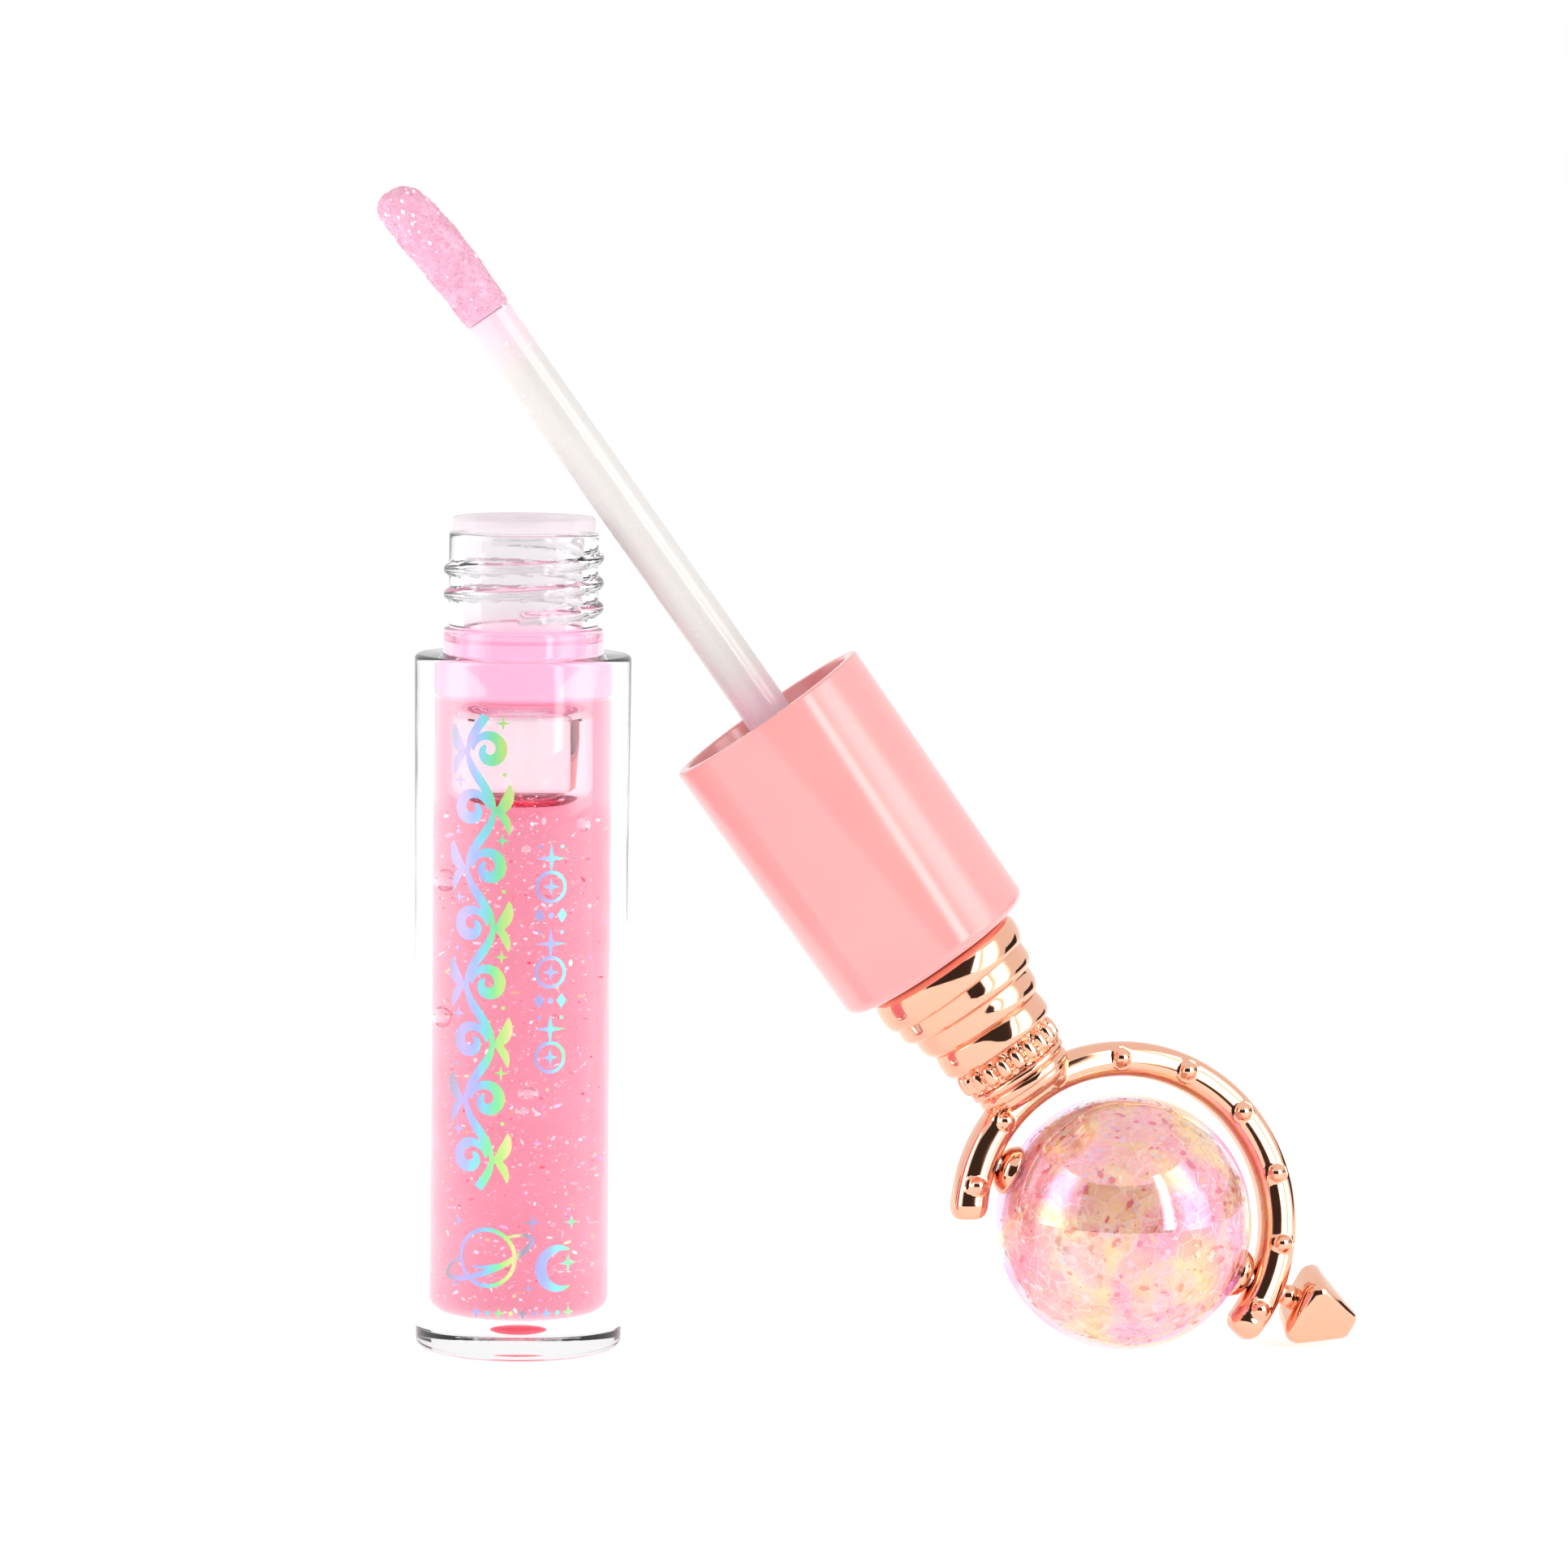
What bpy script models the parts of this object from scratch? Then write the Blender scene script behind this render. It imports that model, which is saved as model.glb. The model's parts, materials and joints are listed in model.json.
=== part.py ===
"""Lip gloss tube: an open bottle standing upright with its closure leaning on the neck.

Metres, +Z up.  The origin is the centre of the bottle's base.  The closure (cap, wand and
globe ornament) is modelled in its own frame: z runs along the wand from the globe's centre
towards the applicator tip, and x and z span the plane of the meridian arm.
"""
import math

import bmesh
import bpy
from mathutils import Matrix, Vector

MM = 0.001
GAP = 0.3 * MM                  # clearance between pieces that rest on each other
FIT = 0.1 * MM                  # clearance between pieces that are pressed together

# Bottle: a thick-walled tube with a threaded neck
BASE_RADIUS = 8.6 * MM
SHOULDER_RADIUS = 9.0 * MM
SHOULDER_HEIGHT = 57.9 * MM
BORE_RADIUS = 5.0 * MM
FLOOR_THICKNESS = 2.9 * MM
NECK_RADIUS = 6.2 * MM
NECK_TOP = 68.0 * MM
BEAD_RADIUS = 6.65 * MM
BEAD_TOP = 60.1 * MM
THREAD_RADIUS = 6.65 * MM
THREAD_PITCH = 2.05 * MM
THREAD_START = 61.4 * MM
THREAD_TURNS = 2.25
GLOSS_LEVEL = 45.2 * MM

# Wiper: the plug that cleans the wand
WIPER_FLANGE_RADIUS = 5.95 * MM
WIPER_FLANGE_TOP = 69.3 * MM
WIPER_FLANGE_BOTTOM = 68.15 * MM
WIPER_BOTTOM = 54.2 * MM
WIPER_MOUTH_RADIUS = 4.1 * MM
WIPER_BORE_RADIUS = 3.5 * MM
WIPER_LIP_RADIUS = 2.0 * MM

# Cap shell, liner and wand, as heights above the globe's centre
CAP_END = 27.3 * MM
CAP_MOUTH = 52.2 * MM
CAP_MOUTH_RADIUS = 8.98 * MM
CAP_END_RADIUS = 8.84 * MM
CAP_WALL = 1.05 * MM
CAP_END_WALL = 1.3 * MM
CAP_EDGE = 0.9 * MM
SPIGOT_RADIUS = 2.6 * MM
LINER_MOUTH = 49.4 * MM
LINER_BORE = 7.05 * MM
LINER_THREAD_RADIUS = 6.75 * MM
SEAL_FACE = 40.7 * MM
STEM_RADIUS = 2.1 * MM
FLOCK_START = 92.0 * MM
WAND_TIP = 104.8 * MM
FLOCK_RADIUS = 2.3 * MM

# Collar, ring and meridian arm
RING_TOP = 18.1 * MM
RING_BOTTOM = 16.2 * MM
RING_EGGS = 20
STUD_RADIUS = 1.6 * MM
ARM_INNER = 12.1 * MM
ARM_OUTER = 15.1 * MM
ARM_HALF_DEPTH = 1.75 * MM
ARM_START = math.radians(-79.5)
ARM_END = math.radians(143.5)
PEARL_RADIUS = 0.75 * MM
PEARL_COUNT = 9
PEARL_FIRST = math.radians(131.6)
PEARL_STEP = math.radians(-25.1)

# Globe: it turns on a pin between the two ends of the arm
BALL_RADIUS = 10.7 * MM
PIN_RADIUS = 0.75 * MM
GLOBE_TILT = math.radians(-59.5)        # of the lower pole, in the arm's plane
KNOB_BASE = 16.8 * MM
KNOB_GIRTH = 17.5 * MM
KNOB_POINT = 20.6 * MM
KNOB_CORNER = 4.2 * MM
SHANK_BEAD = 16.1 * MM

# How the closure leans on the bottle
BALL_CENTRE = Vector((50.55, 0.0, 10.85)) * MM
LEAN = math.radians(35.6)
ARM_TURN = math.radians(19.0)           # of the arm's plane about the wand
READY_CLEARANCE = 2.0 * MM              # from wiper to tip once the closure is turned over
SEGMENTS = 32


def clear_scene():
    for item in list(bpy.data.objects):
        bpy.data.objects.remove(item, do_unlink=True)


def material(name, colour, roughness, metallic=0.0, transmission=0.0, ior=1.45):
    made = bpy.data.materials.new(name)
    made.use_nodes = True
    shader = made.node_tree.nodes["Principled BSDF"]
    shader.inputs["Base Color"].default_value = (*colour, 1.0)
    shader.inputs["Roughness"].default_value = roughness
    shader.inputs["Metallic"].default_value = metallic
    shader.inputs["Transmission Weight"].default_value = transmission
    shader.inputs["IOR"].default_value = ior
    made.diffuse_color = (*colour, 1.0)
    return made


def finish_mesh(name, bm, finish, parent=None, smooth=35.0):
    """Turn a bmesh into a named object, shaded smooth except at its sharp edges."""
    bmesh.ops.remove_doubles(bm, verts=bm.verts, dist=1e-6)
    bmesh.ops.recalc_face_normals(bm, faces=bm.faces)
    mesh = bpy.data.meshes.new(name)
    bm.to_mesh(mesh)
    bm.free()
    mesh.shade_smooth()
    mesh.set_sharp_from_angle(angle=math.radians(smooth))
    mesh.materials.append(finish)
    made = bpy.data.objects.new(name, mesh)
    bpy.context.collection.objects.link(made)
    made.parent = parent
    return made


def turned(name, outline, finish, parent=None, segments=SEGMENTS, closed=True):
    """Spin an outline of (radius, height) points about z.

    A closed outline is a ring's section.  An open one starts and ends on the axis.
    """
    bm = bmesh.new()
    points = [bm.verts.new((radius, 0.0, height)) for radius, height in outline]
    edges = [bm.edges.new(pair) for pair in zip(points, points[1:])]
    if closed:
        edges.append(bm.edges.new((points[-1], points[0])))
    bmesh.ops.spin(bm, geom=points + edges, cent=(0, 0, 0), axis=(0, 0, 1),
                   angle=2 * math.pi, steps=segments, use_merge=True)
    return finish_mesh(name, bm, finish, parent)


def arc(centre, radius, start, end, steps):
    """Points along an arc in the (radius, height) plane, angles in degrees."""
    angles = [math.radians(start + (end - start) * i / steps) for i in range(steps + 1)]
    return [(centre[0] + radius * math.cos(a), centre[1] + radius * math.sin(a))
            for a in angles]


def guide(made):
    """Mark an object that only cuts or adds to another."""
    made.hide_render = True
    made.display_type = "WIRE"
    return made


def combine(target, other, operation):
    step = target.modifiers.new(other.name, "BOOLEAN")
    step.operation = operation
    step.object = guide(other)
    step.solver = "EXACT"


def thread(name, root, crest, pitch, start, turns, finish, parent=None):
    """A helical ridge whose section is a trapezium, sunk a little into its wall."""
    steps = round(turns * 16)
    sink = math.copysign(0.25 * MM, root - crest)
    bm = bmesh.new()
    loops = []
    for i in range(steps + 1):
        share = i / steps
        angle = 2 * math.pi * turns * share
        height = start + pitch * turns * share
        fade = min(1.0, share * 8, (1 - share) * 8)
        top = root + (crest - root) * max(fade, 0.1)
        section = ((root + sink, -0.55 * MM), (top, -0.2 * MM), (top, 0.2 * MM),
                   (root + sink, 0.55 * MM))
        loops.append([bm.verts.new((r * math.cos(angle), r * math.sin(angle), height + h))
                      for r, h in section])
    for low, high in zip(loops, loops[1:]):
        for k in range(4):
            bm.faces.new((low[k], low[(k + 1) % 4], high[(k + 1) % 4], high[k]))
    bm.faces.new(loops[0])
    bm.faces.new(loops[-1])
    return finish_mesh(name, bm, finish, parent)


def make_bottle(clear):
    edge = 0.5 * MM
    outline = [(0, 0), (BASE_RADIUS - edge, 0)]
    outline += arc((BASE_RADIUS - edge, edge), edge, -67, 0, 3)
    outline += arc((SHOULDER_RADIUS - edge, SHOULDER_HEIGHT - edge), edge, 0, 90, 3)
    outline += [(BEAD_RADIUS, SHOULDER_HEIGHT), (BEAD_RADIUS, BEAD_TOP - 0.3 * MM),
                (BEAD_RADIUS - 0.3 * MM, BEAD_TOP), (NECK_RADIUS, BEAD_TOP),
                (NECK_RADIUS, NECK_TOP), (BORE_RADIUS, NECK_TOP)]
    corner = 1.2 * MM
    outline += arc((BORE_RADIUS - corner, FLOOR_THICKNESS + corner), corner, 0, -90, 3)
    outline += [(0, FLOOR_THICKNESS)]
    bottle = turned("bottle", outline, clear, closed=False)
    ridge = thread("bottle_thread", NECK_RADIUS, THREAD_RADIUS, THREAD_PITCH, THREAD_START,
                   THREAD_TURNS, clear)
    combine(bottle, ridge, "UNION")


def make_gloss(finish):
    radius = BORE_RADIUS - FIT
    low = FLOOR_THICKNESS + FIT
    corner = 1.2 * MM
    outline = [(0, low)] + arc((radius - corner, low + corner), corner, -90, 0, 3)
    outline += [(radius, GLOSS_LEVEL), (0, GLOSS_LEVEL - 0.4 * MM)]
    turned("gloss_fill", outline, finish, closed=False)


def make_wiper(finish):
    outer = BORE_RADIUS - FIT
    lip = WIPER_BOTTOM + 1.2 * MM
    outline = [
        (WIPER_MOUTH_RADIUS, WIPER_FLANGE_TOP),
        (WIPER_FLANGE_RADIUS - 0.25 * MM, WIPER_FLANGE_TOP),
        (WIPER_FLANGE_RADIUS, WIPER_FLANGE_TOP - 0.25 * MM),
        (WIPER_FLANGE_RADIUS, WIPER_FLANGE_BOTTOM),
        (outer, WIPER_FLANGE_BOTTOM),
        (outer, WIPER_BOTTOM + 5.5 * MM),
        (outer - 0.5 * MM, WIPER_BOTTOM + 5.0 * MM),
        (outer - 0.5 * MM, WIPER_BOTTOM + 0.9 * MM),
        (outer - 1.2 * MM, WIPER_BOTTOM),
        (WIPER_LIP_RADIUS + 0.5 * MM, WIPER_BOTTOM),
        (WIPER_LIP_RADIUS, lip - 0.6 * MM),
        (WIPER_LIP_RADIUS + 0.3 * MM, lip),
        (WIPER_BORE_RADIUS, WIPER_BOTTOM + 2.8 * MM),
        (WIPER_BORE_RADIUS, WIPER_FLANGE_TOP - 1.6 * MM),
    ]
    turned("wiper", outline, finish)


def make_cap_shell(parent, finish):
    inner_end = CAP_END + CAP_END_WALL
    lip = 0.25 * MM
    outline = [(SPIGOT_RADIUS, CAP_END), (CAP_END_RADIUS - CAP_EDGE, CAP_END)]
    outline += arc((CAP_END_RADIUS - CAP_EDGE, CAP_END + CAP_EDGE), CAP_EDGE, -67, 0, 3)
    outline += [(CAP_MOUTH_RADIUS, CAP_MOUTH - lip), (CAP_MOUTH_RADIUS - lip, CAP_MOUTH),
                (CAP_MOUTH_RADIUS - CAP_WALL, CAP_MOUTH),
                (CAP_END_RADIUS - CAP_WALL, inner_end), (SPIGOT_RADIUS, inner_end)]
    turned("cap_shell", outline, finish, parent)


def make_inner_cap(parent, finish):
    outer = CAP_END_RADIUS - CAP_WALL - FIT
    socket = 3.4 * MM
    web = SEAL_FACE - 1.2 * MM - GAP
    bottom = CAP_END + CAP_END_WALL + GAP
    outline = [(0, bottom), (5.0 * MM, bottom), (5.0 * MM, web - 3.0 * MM),
               (outer, web - 1.5 * MM), (outer, LINER_MOUTH),
               (LINER_BORE, LINER_MOUTH), (LINER_BORE, web), (socket, web),
               (socket, bottom + 1.6 * MM), (0, bottom + 1.6 * MM)]
    liner = turned("inner_cap", outline, finish, parent, closed=False)
    ridge = thread("inner_cap_thread", LINER_BORE, LINER_THREAD_RADIUS, THREAD_PITCH,
                   SEAL_FACE + 2.4 * MM, 2.0, finish, parent)
    combine(liner, ridge, "UNION")


def make_wand_stem(parent, finish):
    plug = 3.3 * MM
    flange_low = SEAL_FACE - 1.2 * MM
    outline = [(0, CAP_END + 3.8 * MM), (plug - 0.4 * MM, CAP_END + 3.8 * MM),
               (plug, CAP_END + 4.4 * MM), (plug, flange_low), (6.1 * MM, flange_low),
               (6.1 * MM, SEAL_FACE), (STEM_RADIUS + 0.5 * MM, SEAL_FACE),
               (STEM_RADIUS, SEAL_FACE + 0.6 * MM), (STEM_RADIUS, FLOCK_START),
               (1.2 * MM, FLOCK_START), (1.0 * MM, WAND_TIP - 4.5 * MM),
               (0, WAND_TIP - 4.5 * MM)]
    turned("wand_stem", outline, finish, parent, segments=20, closed=False)


def make_flocked_tip(parent, finish):
    """A sleeve over the stem's spigot, bulging and slanted towards one side at its end."""
    low = FLOCK_START + GAP
    outline = [(0, WAND_TIP - 4.2 * MM), (1.35 * MM, WAND_TIP - 4.2 * MM), (1.35 * MM, low),
               (FLOCK_RADIUS - 0.15 * MM, low), (FLOCK_RADIUS, low + 2.5 * MM),
               (FLOCK_RADIUS, low + 5.0 * MM), (FLOCK_RADIUS, WAND_TIP - 4.0 * MM)]
    outline += [(FLOCK_RADIUS * math.cos(a), WAND_TIP - 2.8 * MM + 2.8 * MM * math.sin(a))
                for a in [math.radians(15 * i) for i in range(1, 7)]]
    tip = turned("flocked_tip", outline, finish, parent, segments=20, closed=False)
    for point in tip.data.vertices:
        reach = max(0.0, (point.co.z - (WAND_TIP - 4.2 * MM)) / (4.2 * MM))
        point.co.z -= reach * 0.35 * (point.co.x + FLOCK_RADIUS * 0.4)
        point.co.x -= reach * 0.25 * MM


def make_collar(parent, finish):
    """The swelling neck of the ornament, drawn in rings that shrink towards the arm."""
    crests = ((26.1, 6.95), (24.7, 6.65), (23.3, 6.35), (21.7, 5.7))
    outline = [(2.4 * MM, CAP_END + CAP_END_WALL - FIT), (2.4 * MM, CAP_END - GAP),
               (6.6 * MM, CAP_END - GAP)]
    for height, radius in crests:
        outline += [(radius * MM - 0.1 * MM, (height + 0.4) * MM), (radius * MM, height * MM),
                    (radius * MM - 0.3 * MM, (height - 0.5) * MM)]
    outline += [(4.95 * MM, 20.4 * MM), (5.15 * MM, 19.6 * MM), (5.25 * MM, 18.9 * MM),
                (4.9 * MM, RING_TOP + GAP), (STUD_RADIUS + FIT, RING_TOP + GAP),
                (STUD_RADIUS + FIT, 23.5 * MM), (0.8 * MM, 24.0 * MM),
                (0.8 * MM, CAP_END + CAP_END_WALL - FIT)]
    turned("twisted_collar", outline, finish, parent)


def make_gadroon_ring(parent, finish):
    """A ring of eggs side by side, each a bulge of the ring's outer wall."""
    outline = [(STUD_RADIUS + FIT, RING_TOP), (4.2 * MM, RING_TOP), (4.6 * MM, RING_TOP - 0.35 * MM),
               (4.85 * MM, (RING_TOP + RING_BOTTOM) / 2), (4.5 * MM, RING_BOTTOM + 0.3 * MM),
               (4.1 * MM, RING_BOTTOM), (STUD_RADIUS + FIT, RING_BOTTOM)]
    ring = turned("gadroon_ring", outline, finish, parent, segments=2 * RING_EGGS)
    for point in ring.data.vertices:
        angle = math.atan2(point.co.y, point.co.x)
        radius = math.hypot(point.co.x, point.co.y)
        if radius > 4.3 * MM:
            share = 1 - 0.06 * abs(math.sin(RING_EGGS * angle / 2))
            point.co.x *= share
            point.co.y *= share


def arm_bar(name, finish, parent):
    """The C-shaped bar: a squarish section swept round the globe, with rounded ends."""
    middle = (ARM_INNER + ARM_OUTER) / 2
    half = (ARM_OUTER - ARM_INNER) / 2
    bm = bmesh.new()
    loop = []
    for i in range(12):
        angle = 2 * math.pi * (i + 0.5) / 12
        across = math.copysign(abs(math.cos(angle)) ** 0.6, math.cos(angle))
        depth = math.copysign(abs(math.sin(angle)) ** 0.6, math.sin(angle))
        loop.append(bm.verts.new((middle + half * across, ARM_HALF_DEPTH * depth, 0.0)))
    start = bm.faces.new(loop)
    bmesh.ops.rotate(bm, verts=loop, cent=(0, 0, 0),
                     matrix=Matrix.Rotation(-ARM_START, 3, "Y"))
    sweep = bmesh.ops.spin(bm, geom=[start], cent=(0, 0, 0), axis=(0, 1, 0),
                           angle=-(ARM_END - ARM_START), steps=28)
    caps = [start] + [f for f in sweep["geom_last"] if isinstance(f, bmesh.types.BMFace)]
    rims = {edge for cap in caps for edge in cap.edges}
    bmesh.ops.bevel(bm, geom=list(rims), offset=0.7 * MM, segments=2, profile=0.5,
                    affect="EDGES")
    return finish_mesh(name, bm, finish, parent)


def pearl(name, angle, finish, parent):
    middle = (ARM_INNER + ARM_OUTER) / 2
    bm = bmesh.new()
    place = Matrix.Translation((middle * math.cos(angle), -ARM_HALF_DEPTH - 0.05 * MM,
                                middle * math.sin(angle)))
    bmesh.ops.create_icosphere(bm, subdivisions=2, radius=PEARL_RADIUS, matrix=place)
    return finish_mesh(name, bm, finish, parent)


def globe_axis_rod(name, radius, start, end, finish, parent):
    """A round bar along the globe's axis, for cutting the pin's holes."""
    return turned(name, [(0, start), (radius, start), (radius, end), (0, end)], finish, parent,
                  segments=16, closed=False)


def make_meridian_arm(closure, globe, finish):
    arm = arm_bar("meridian_arm", finish, closure)
    foot = turned("arm_foot", [(0, 13.4 * MM), (4.0 * MM, 13.4 * MM), (4.25 * MM, 14.3 * MM),
                               (4.1 * MM, 15.0 * MM), (4.45 * MM, 15.5 * MM),
                               (4.1 * MM, RING_BOTTOM - GAP),
                               (STUD_RADIUS, RING_BOTTOM - GAP), (STUD_RADIUS, 23.0 * MM),
                               (0, 23.0 * MM)], finish, closure, segments=24, closed=False)
    combine(arm, foot, "UNION")
    for i in range(PEARL_COUNT):
        angle = PEARL_FIRST + i * PEARL_STEP
        combine(arm, pearl("arm_pearl_%d" % (i + 1), angle, finish, closure), "UNION")
    blind = globe_axis_rod("upper_pin_hole", PIN_RADIUS + 2 * FIT, -(ARM_OUTER - 0.8 * MM),
                           -(ARM_INNER - 1.0 * MM), finish, globe)
    combine(arm, blind, "DIFFERENCE")
    through = globe_axis_rod("lower_pin_hole", PIN_RADIUS + 2 * FIT, ARM_INNER - 1.0 * MM,
                             ARM_OUTER + 1.0 * MM, finish, globe)
    combine(arm, through, "DIFFERENCE")


def make_ball(globe, finish):
    hole = PIN_RADIUS + FIT
    pole = math.acos(hole / BALL_RADIUS)
    rings = 14
    outline = [(BALL_RADIUS * math.cos(a), BALL_RADIUS * math.sin(a))
               for a in [pole - 2 * pole * i / rings for i in range(rings + 1)]]
    turned("globe_ball", outline, finish, globe)


def make_axle_pin(globe, finish):
    turned("axle_pin", [(0, -(ARM_OUTER - 1.0 * MM)), (PIN_RADIUS, -(ARM_OUTER - 1.0 * MM)),
                        (PIN_RADIUS, KNOB_GIRTH + 1.0 * MM), (0, KNOB_GIRTH + 1.0 * MM)],
           finish, globe, segments=16, closed=False)


def make_bead_cap(name, pole, globe, finish):
    """A dome threaded on the pin between the ball and the arm; pole is +1 or -1."""
    hole = PIN_RADIUS + FIT
    seat = BALL_RADIUS + 2 * FIT
    rim = 2.15 * MM
    crown = ARM_INNER - 2 * FIT
    outline = [(hole, crown), (1.25 * MM, crown - 0.1 * MM), (1.8 * MM, crown - 0.5 * MM),
               (rim, math.sqrt(seat ** 2 - rim ** 2) + 0.25 * MM),
               (rim, math.sqrt(seat ** 2 - rim ** 2)), (hole, math.sqrt(seat ** 2 - hole ** 2))]
    turned(name, [(radius, pole * height) for radius, height in outline], finish, globe,
           segments=20)


def make_turning_knob(globe, finish):
    """A four-sided pointed knob with soft edges, on a shank with one small bead."""
    bm = bmesh.new()
    stations = ((KNOB_BASE, 3.0 * MM), (KNOB_GIRTH, KNOB_CORNER), (KNOB_POINT, 1.4 * MM))
    loops = []
    for height, corner in stations:
        turns = [math.pi / 2 * i + math.radians(-90) - ARM_TURN for i in range(4)]
        loops.append([bm.verts.new((corner * math.cos(a), corner * math.sin(a), height))
                      for a in turns])
    for low, high in zip(loops, loops[1:]):
        for k in range(4):
            bm.faces.new((low[k], low[(k + 1) % 4], high[(k + 1) % 4], high[k]))
    bm.faces.new(loops[0])
    bm.faces.new(loops[-1])
    bmesh.ops.bevel(bm, geom=bm.edges[:], offset=0.6 * MM, segments=2, profile=0.6,
                    affect="EDGES")
    knob = finish_mesh("turning_knob", bm, finish, globe)
    bead = [(0, ARM_OUTER + GAP), (1.0 * MM, ARM_OUTER + GAP)]
    bead += arc((0, SHANK_BEAD), 1.15 * MM, -30, 40, 4)
    bead += [(0.9 * MM, KNOB_BASE + 0.5 * MM), (0, KNOB_BASE + 0.5 * MM)]
    combine(knob, turned("knob_shank", bead, finish, globe, 16, closed=False), "UNION")
    bore = globe_axis_rod("knob_bore", PIN_RADIUS + FIT, ARM_OUTER - 1.0 * MM,
                          KNOB_GIRTH + 1.0 * MM + GAP, finish, globe)
    combine(knob, bore, "DIFFERENCE")


def frames():
    """Empties for the closure's turning axis, its own frame and the globe's axis.

    The closure turns by 180 degrees less its lean, from leaning on the neck to standing
    over the bottle with the applicator just above the wiper.
    """
    ready = Vector((0, 0, WIPER_FLANGE_TOP + READY_CLEARANCE + WAND_TIP))
    half_turn = (math.pi - LEAN) / 2
    chord = ready - BALL_CENTRE
    side = Vector((-chord.z, 0, chord.x))
    pivot = (BALL_CENTRE + ready) / 2 + side / 2 / math.tan(half_turn)
    turnover = bpy.data.objects.new("closure_turnover", None)
    turnover.location = pivot
    closure = bpy.data.objects.new("closure_frame", None)
    closure.parent = turnover
    closure.location = BALL_CENTRE - pivot
    closure.rotation_mode = "ZYX"
    closure.rotation_euler = (0, -LEAN, ARM_TURN)
    globe = bpy.data.objects.new("globe_axis", None)
    globe.parent = closure
    globe.rotation_euler = (0, math.pi / 2 - GLOBE_TILT, 0)
    for empty in (turnover, closure, globe):
        empty.empty_display_size = 5 * MM
        bpy.context.collection.objects.link(empty)
    bpy.context.view_layer.update()
    return closure, globe


def main():
    clear_scene()
    clear = material("clear_bottle", (0.93, 0.93, 0.95), 0.03, transmission=1.0, ior=1.5)
    gloss = material("pink_gloss", (0.93, 0.35, 0.47), 0.1)
    milky = material("milky_wiper", (0.93, 0.88, 0.9), 0.35)
    shell = material("salmon_shell", (0.94, 0.42, 0.38), 0.2)
    white = material("white_liner", (0.9, 0.88, 0.86), 0.35)
    flock = material("pink_flock", (0.95, 0.45, 0.66), 0.95)
    plated = material("rose_gold_plating", (0.87, 0.5, 0.36), 0.12, metallic=1.0)
    ball = material("crackle_ball", (0.9, 0.45, 0.45), 0.08)
    steel = material("steel_pin", (0.6, 0.6, 0.62), 0.25, metallic=1.0)
    closure, globe = frames()
    make_bottle(clear)
    make_gloss(gloss)
    make_wiper(milky)
    make_cap_shell(closure, shell)
    make_inner_cap(closure, white)
    make_wand_stem(closure, white)
    make_flocked_tip(closure, flock)
    make_collar(closure, plated)
    make_gadroon_ring(closure, plated)
    make_meridian_arm(closure, globe, plated)
    make_ball(globe, ball)
    make_axle_pin(globe, steel)
    make_bead_cap("bead_cap_lower", 1, globe, plated)
    make_bead_cap("bead_cap_upper", -1, globe, plated)
    make_turning_knob(globe, plated)


main()
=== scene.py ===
"""Lip gloss tube: the finished look of an open bottle with its closure leaning on the neck.

Everything is built round the solid parts that the frame holds, in metres and in its coordinates.
The bottle stands upright on the origin.  The closure's pieces are shaped in the closure's own
frame, z running from the globe's centre along the wand and x and z spanning the plane of the
meridian arm, and are then put in place.  Outlines and tables of shape are in millimetres.
"""
import json
import math
import random

import bpy
from bpy.props import FloatProperty, FloatVectorProperty, IntProperty, PointerProperty
from bpy.types import Operator, Panel, PropertyGroup
from mathutils import Matrix, Quaternion, Vector


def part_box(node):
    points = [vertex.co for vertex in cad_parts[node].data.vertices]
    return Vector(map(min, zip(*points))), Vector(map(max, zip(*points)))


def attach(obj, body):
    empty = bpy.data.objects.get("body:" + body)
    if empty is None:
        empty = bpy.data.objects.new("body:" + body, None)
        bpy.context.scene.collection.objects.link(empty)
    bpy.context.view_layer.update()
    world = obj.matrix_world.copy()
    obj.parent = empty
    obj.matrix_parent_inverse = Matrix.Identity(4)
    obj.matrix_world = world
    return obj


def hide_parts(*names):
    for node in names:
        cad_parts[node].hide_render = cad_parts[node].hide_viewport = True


bl_info = {
    "name": "Lip Gloss Tube",
    "version": (1, 0, 0),
    "blender": (4, 5, 0),
    "location": "View3D > Sidebar > Lip Gloss",
    "description": "Builds a lip gloss bottle, its wand and its globe ornament",
    "category": "Add Mesh",
}

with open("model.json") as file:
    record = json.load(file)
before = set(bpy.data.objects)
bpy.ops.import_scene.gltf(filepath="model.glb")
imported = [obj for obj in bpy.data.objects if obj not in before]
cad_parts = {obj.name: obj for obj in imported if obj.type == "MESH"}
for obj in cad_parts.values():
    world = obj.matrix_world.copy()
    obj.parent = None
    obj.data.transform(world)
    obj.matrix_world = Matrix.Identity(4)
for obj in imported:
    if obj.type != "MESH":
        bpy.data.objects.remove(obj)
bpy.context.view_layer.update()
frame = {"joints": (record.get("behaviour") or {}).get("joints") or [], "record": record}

MM = 0.001
PLASTIC_IOR = 1.49              # acrylic and the gloss oils are close to each other
GEL_IOR = 1.47
CHAMBER_CORNER = 1.2            # mm, where the chamber's wall rounds into its floor
SEAL_HEIGHT = 40.7              # mm above the globe's centre, where the wand seals the neck
LINER_PITCH = 2.05              # mm
EGG_STEPS = 14                  # faces across one egg of the ring
RAINBOW_REPEAT = 6.4            # mm, after which the foil's colours start again
BIG_AND_FINE_BUBBLES = 46
GLITTER_FLAKES = 1500
GLOSS_DROPS = 120
FLOCK_FIBRES = 15000
CRACK_FACETS = 2600
CARD_DISTANCE = 1.3             # m, for the dark cards
GLINT_DISTANCE = 1.0            # m, for the cards that shine
LAMP_DISTANCE = 0.8             # m
FOCAL_LENGTH = 136.4            # mm, on a sensor 36 mm wide
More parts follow.
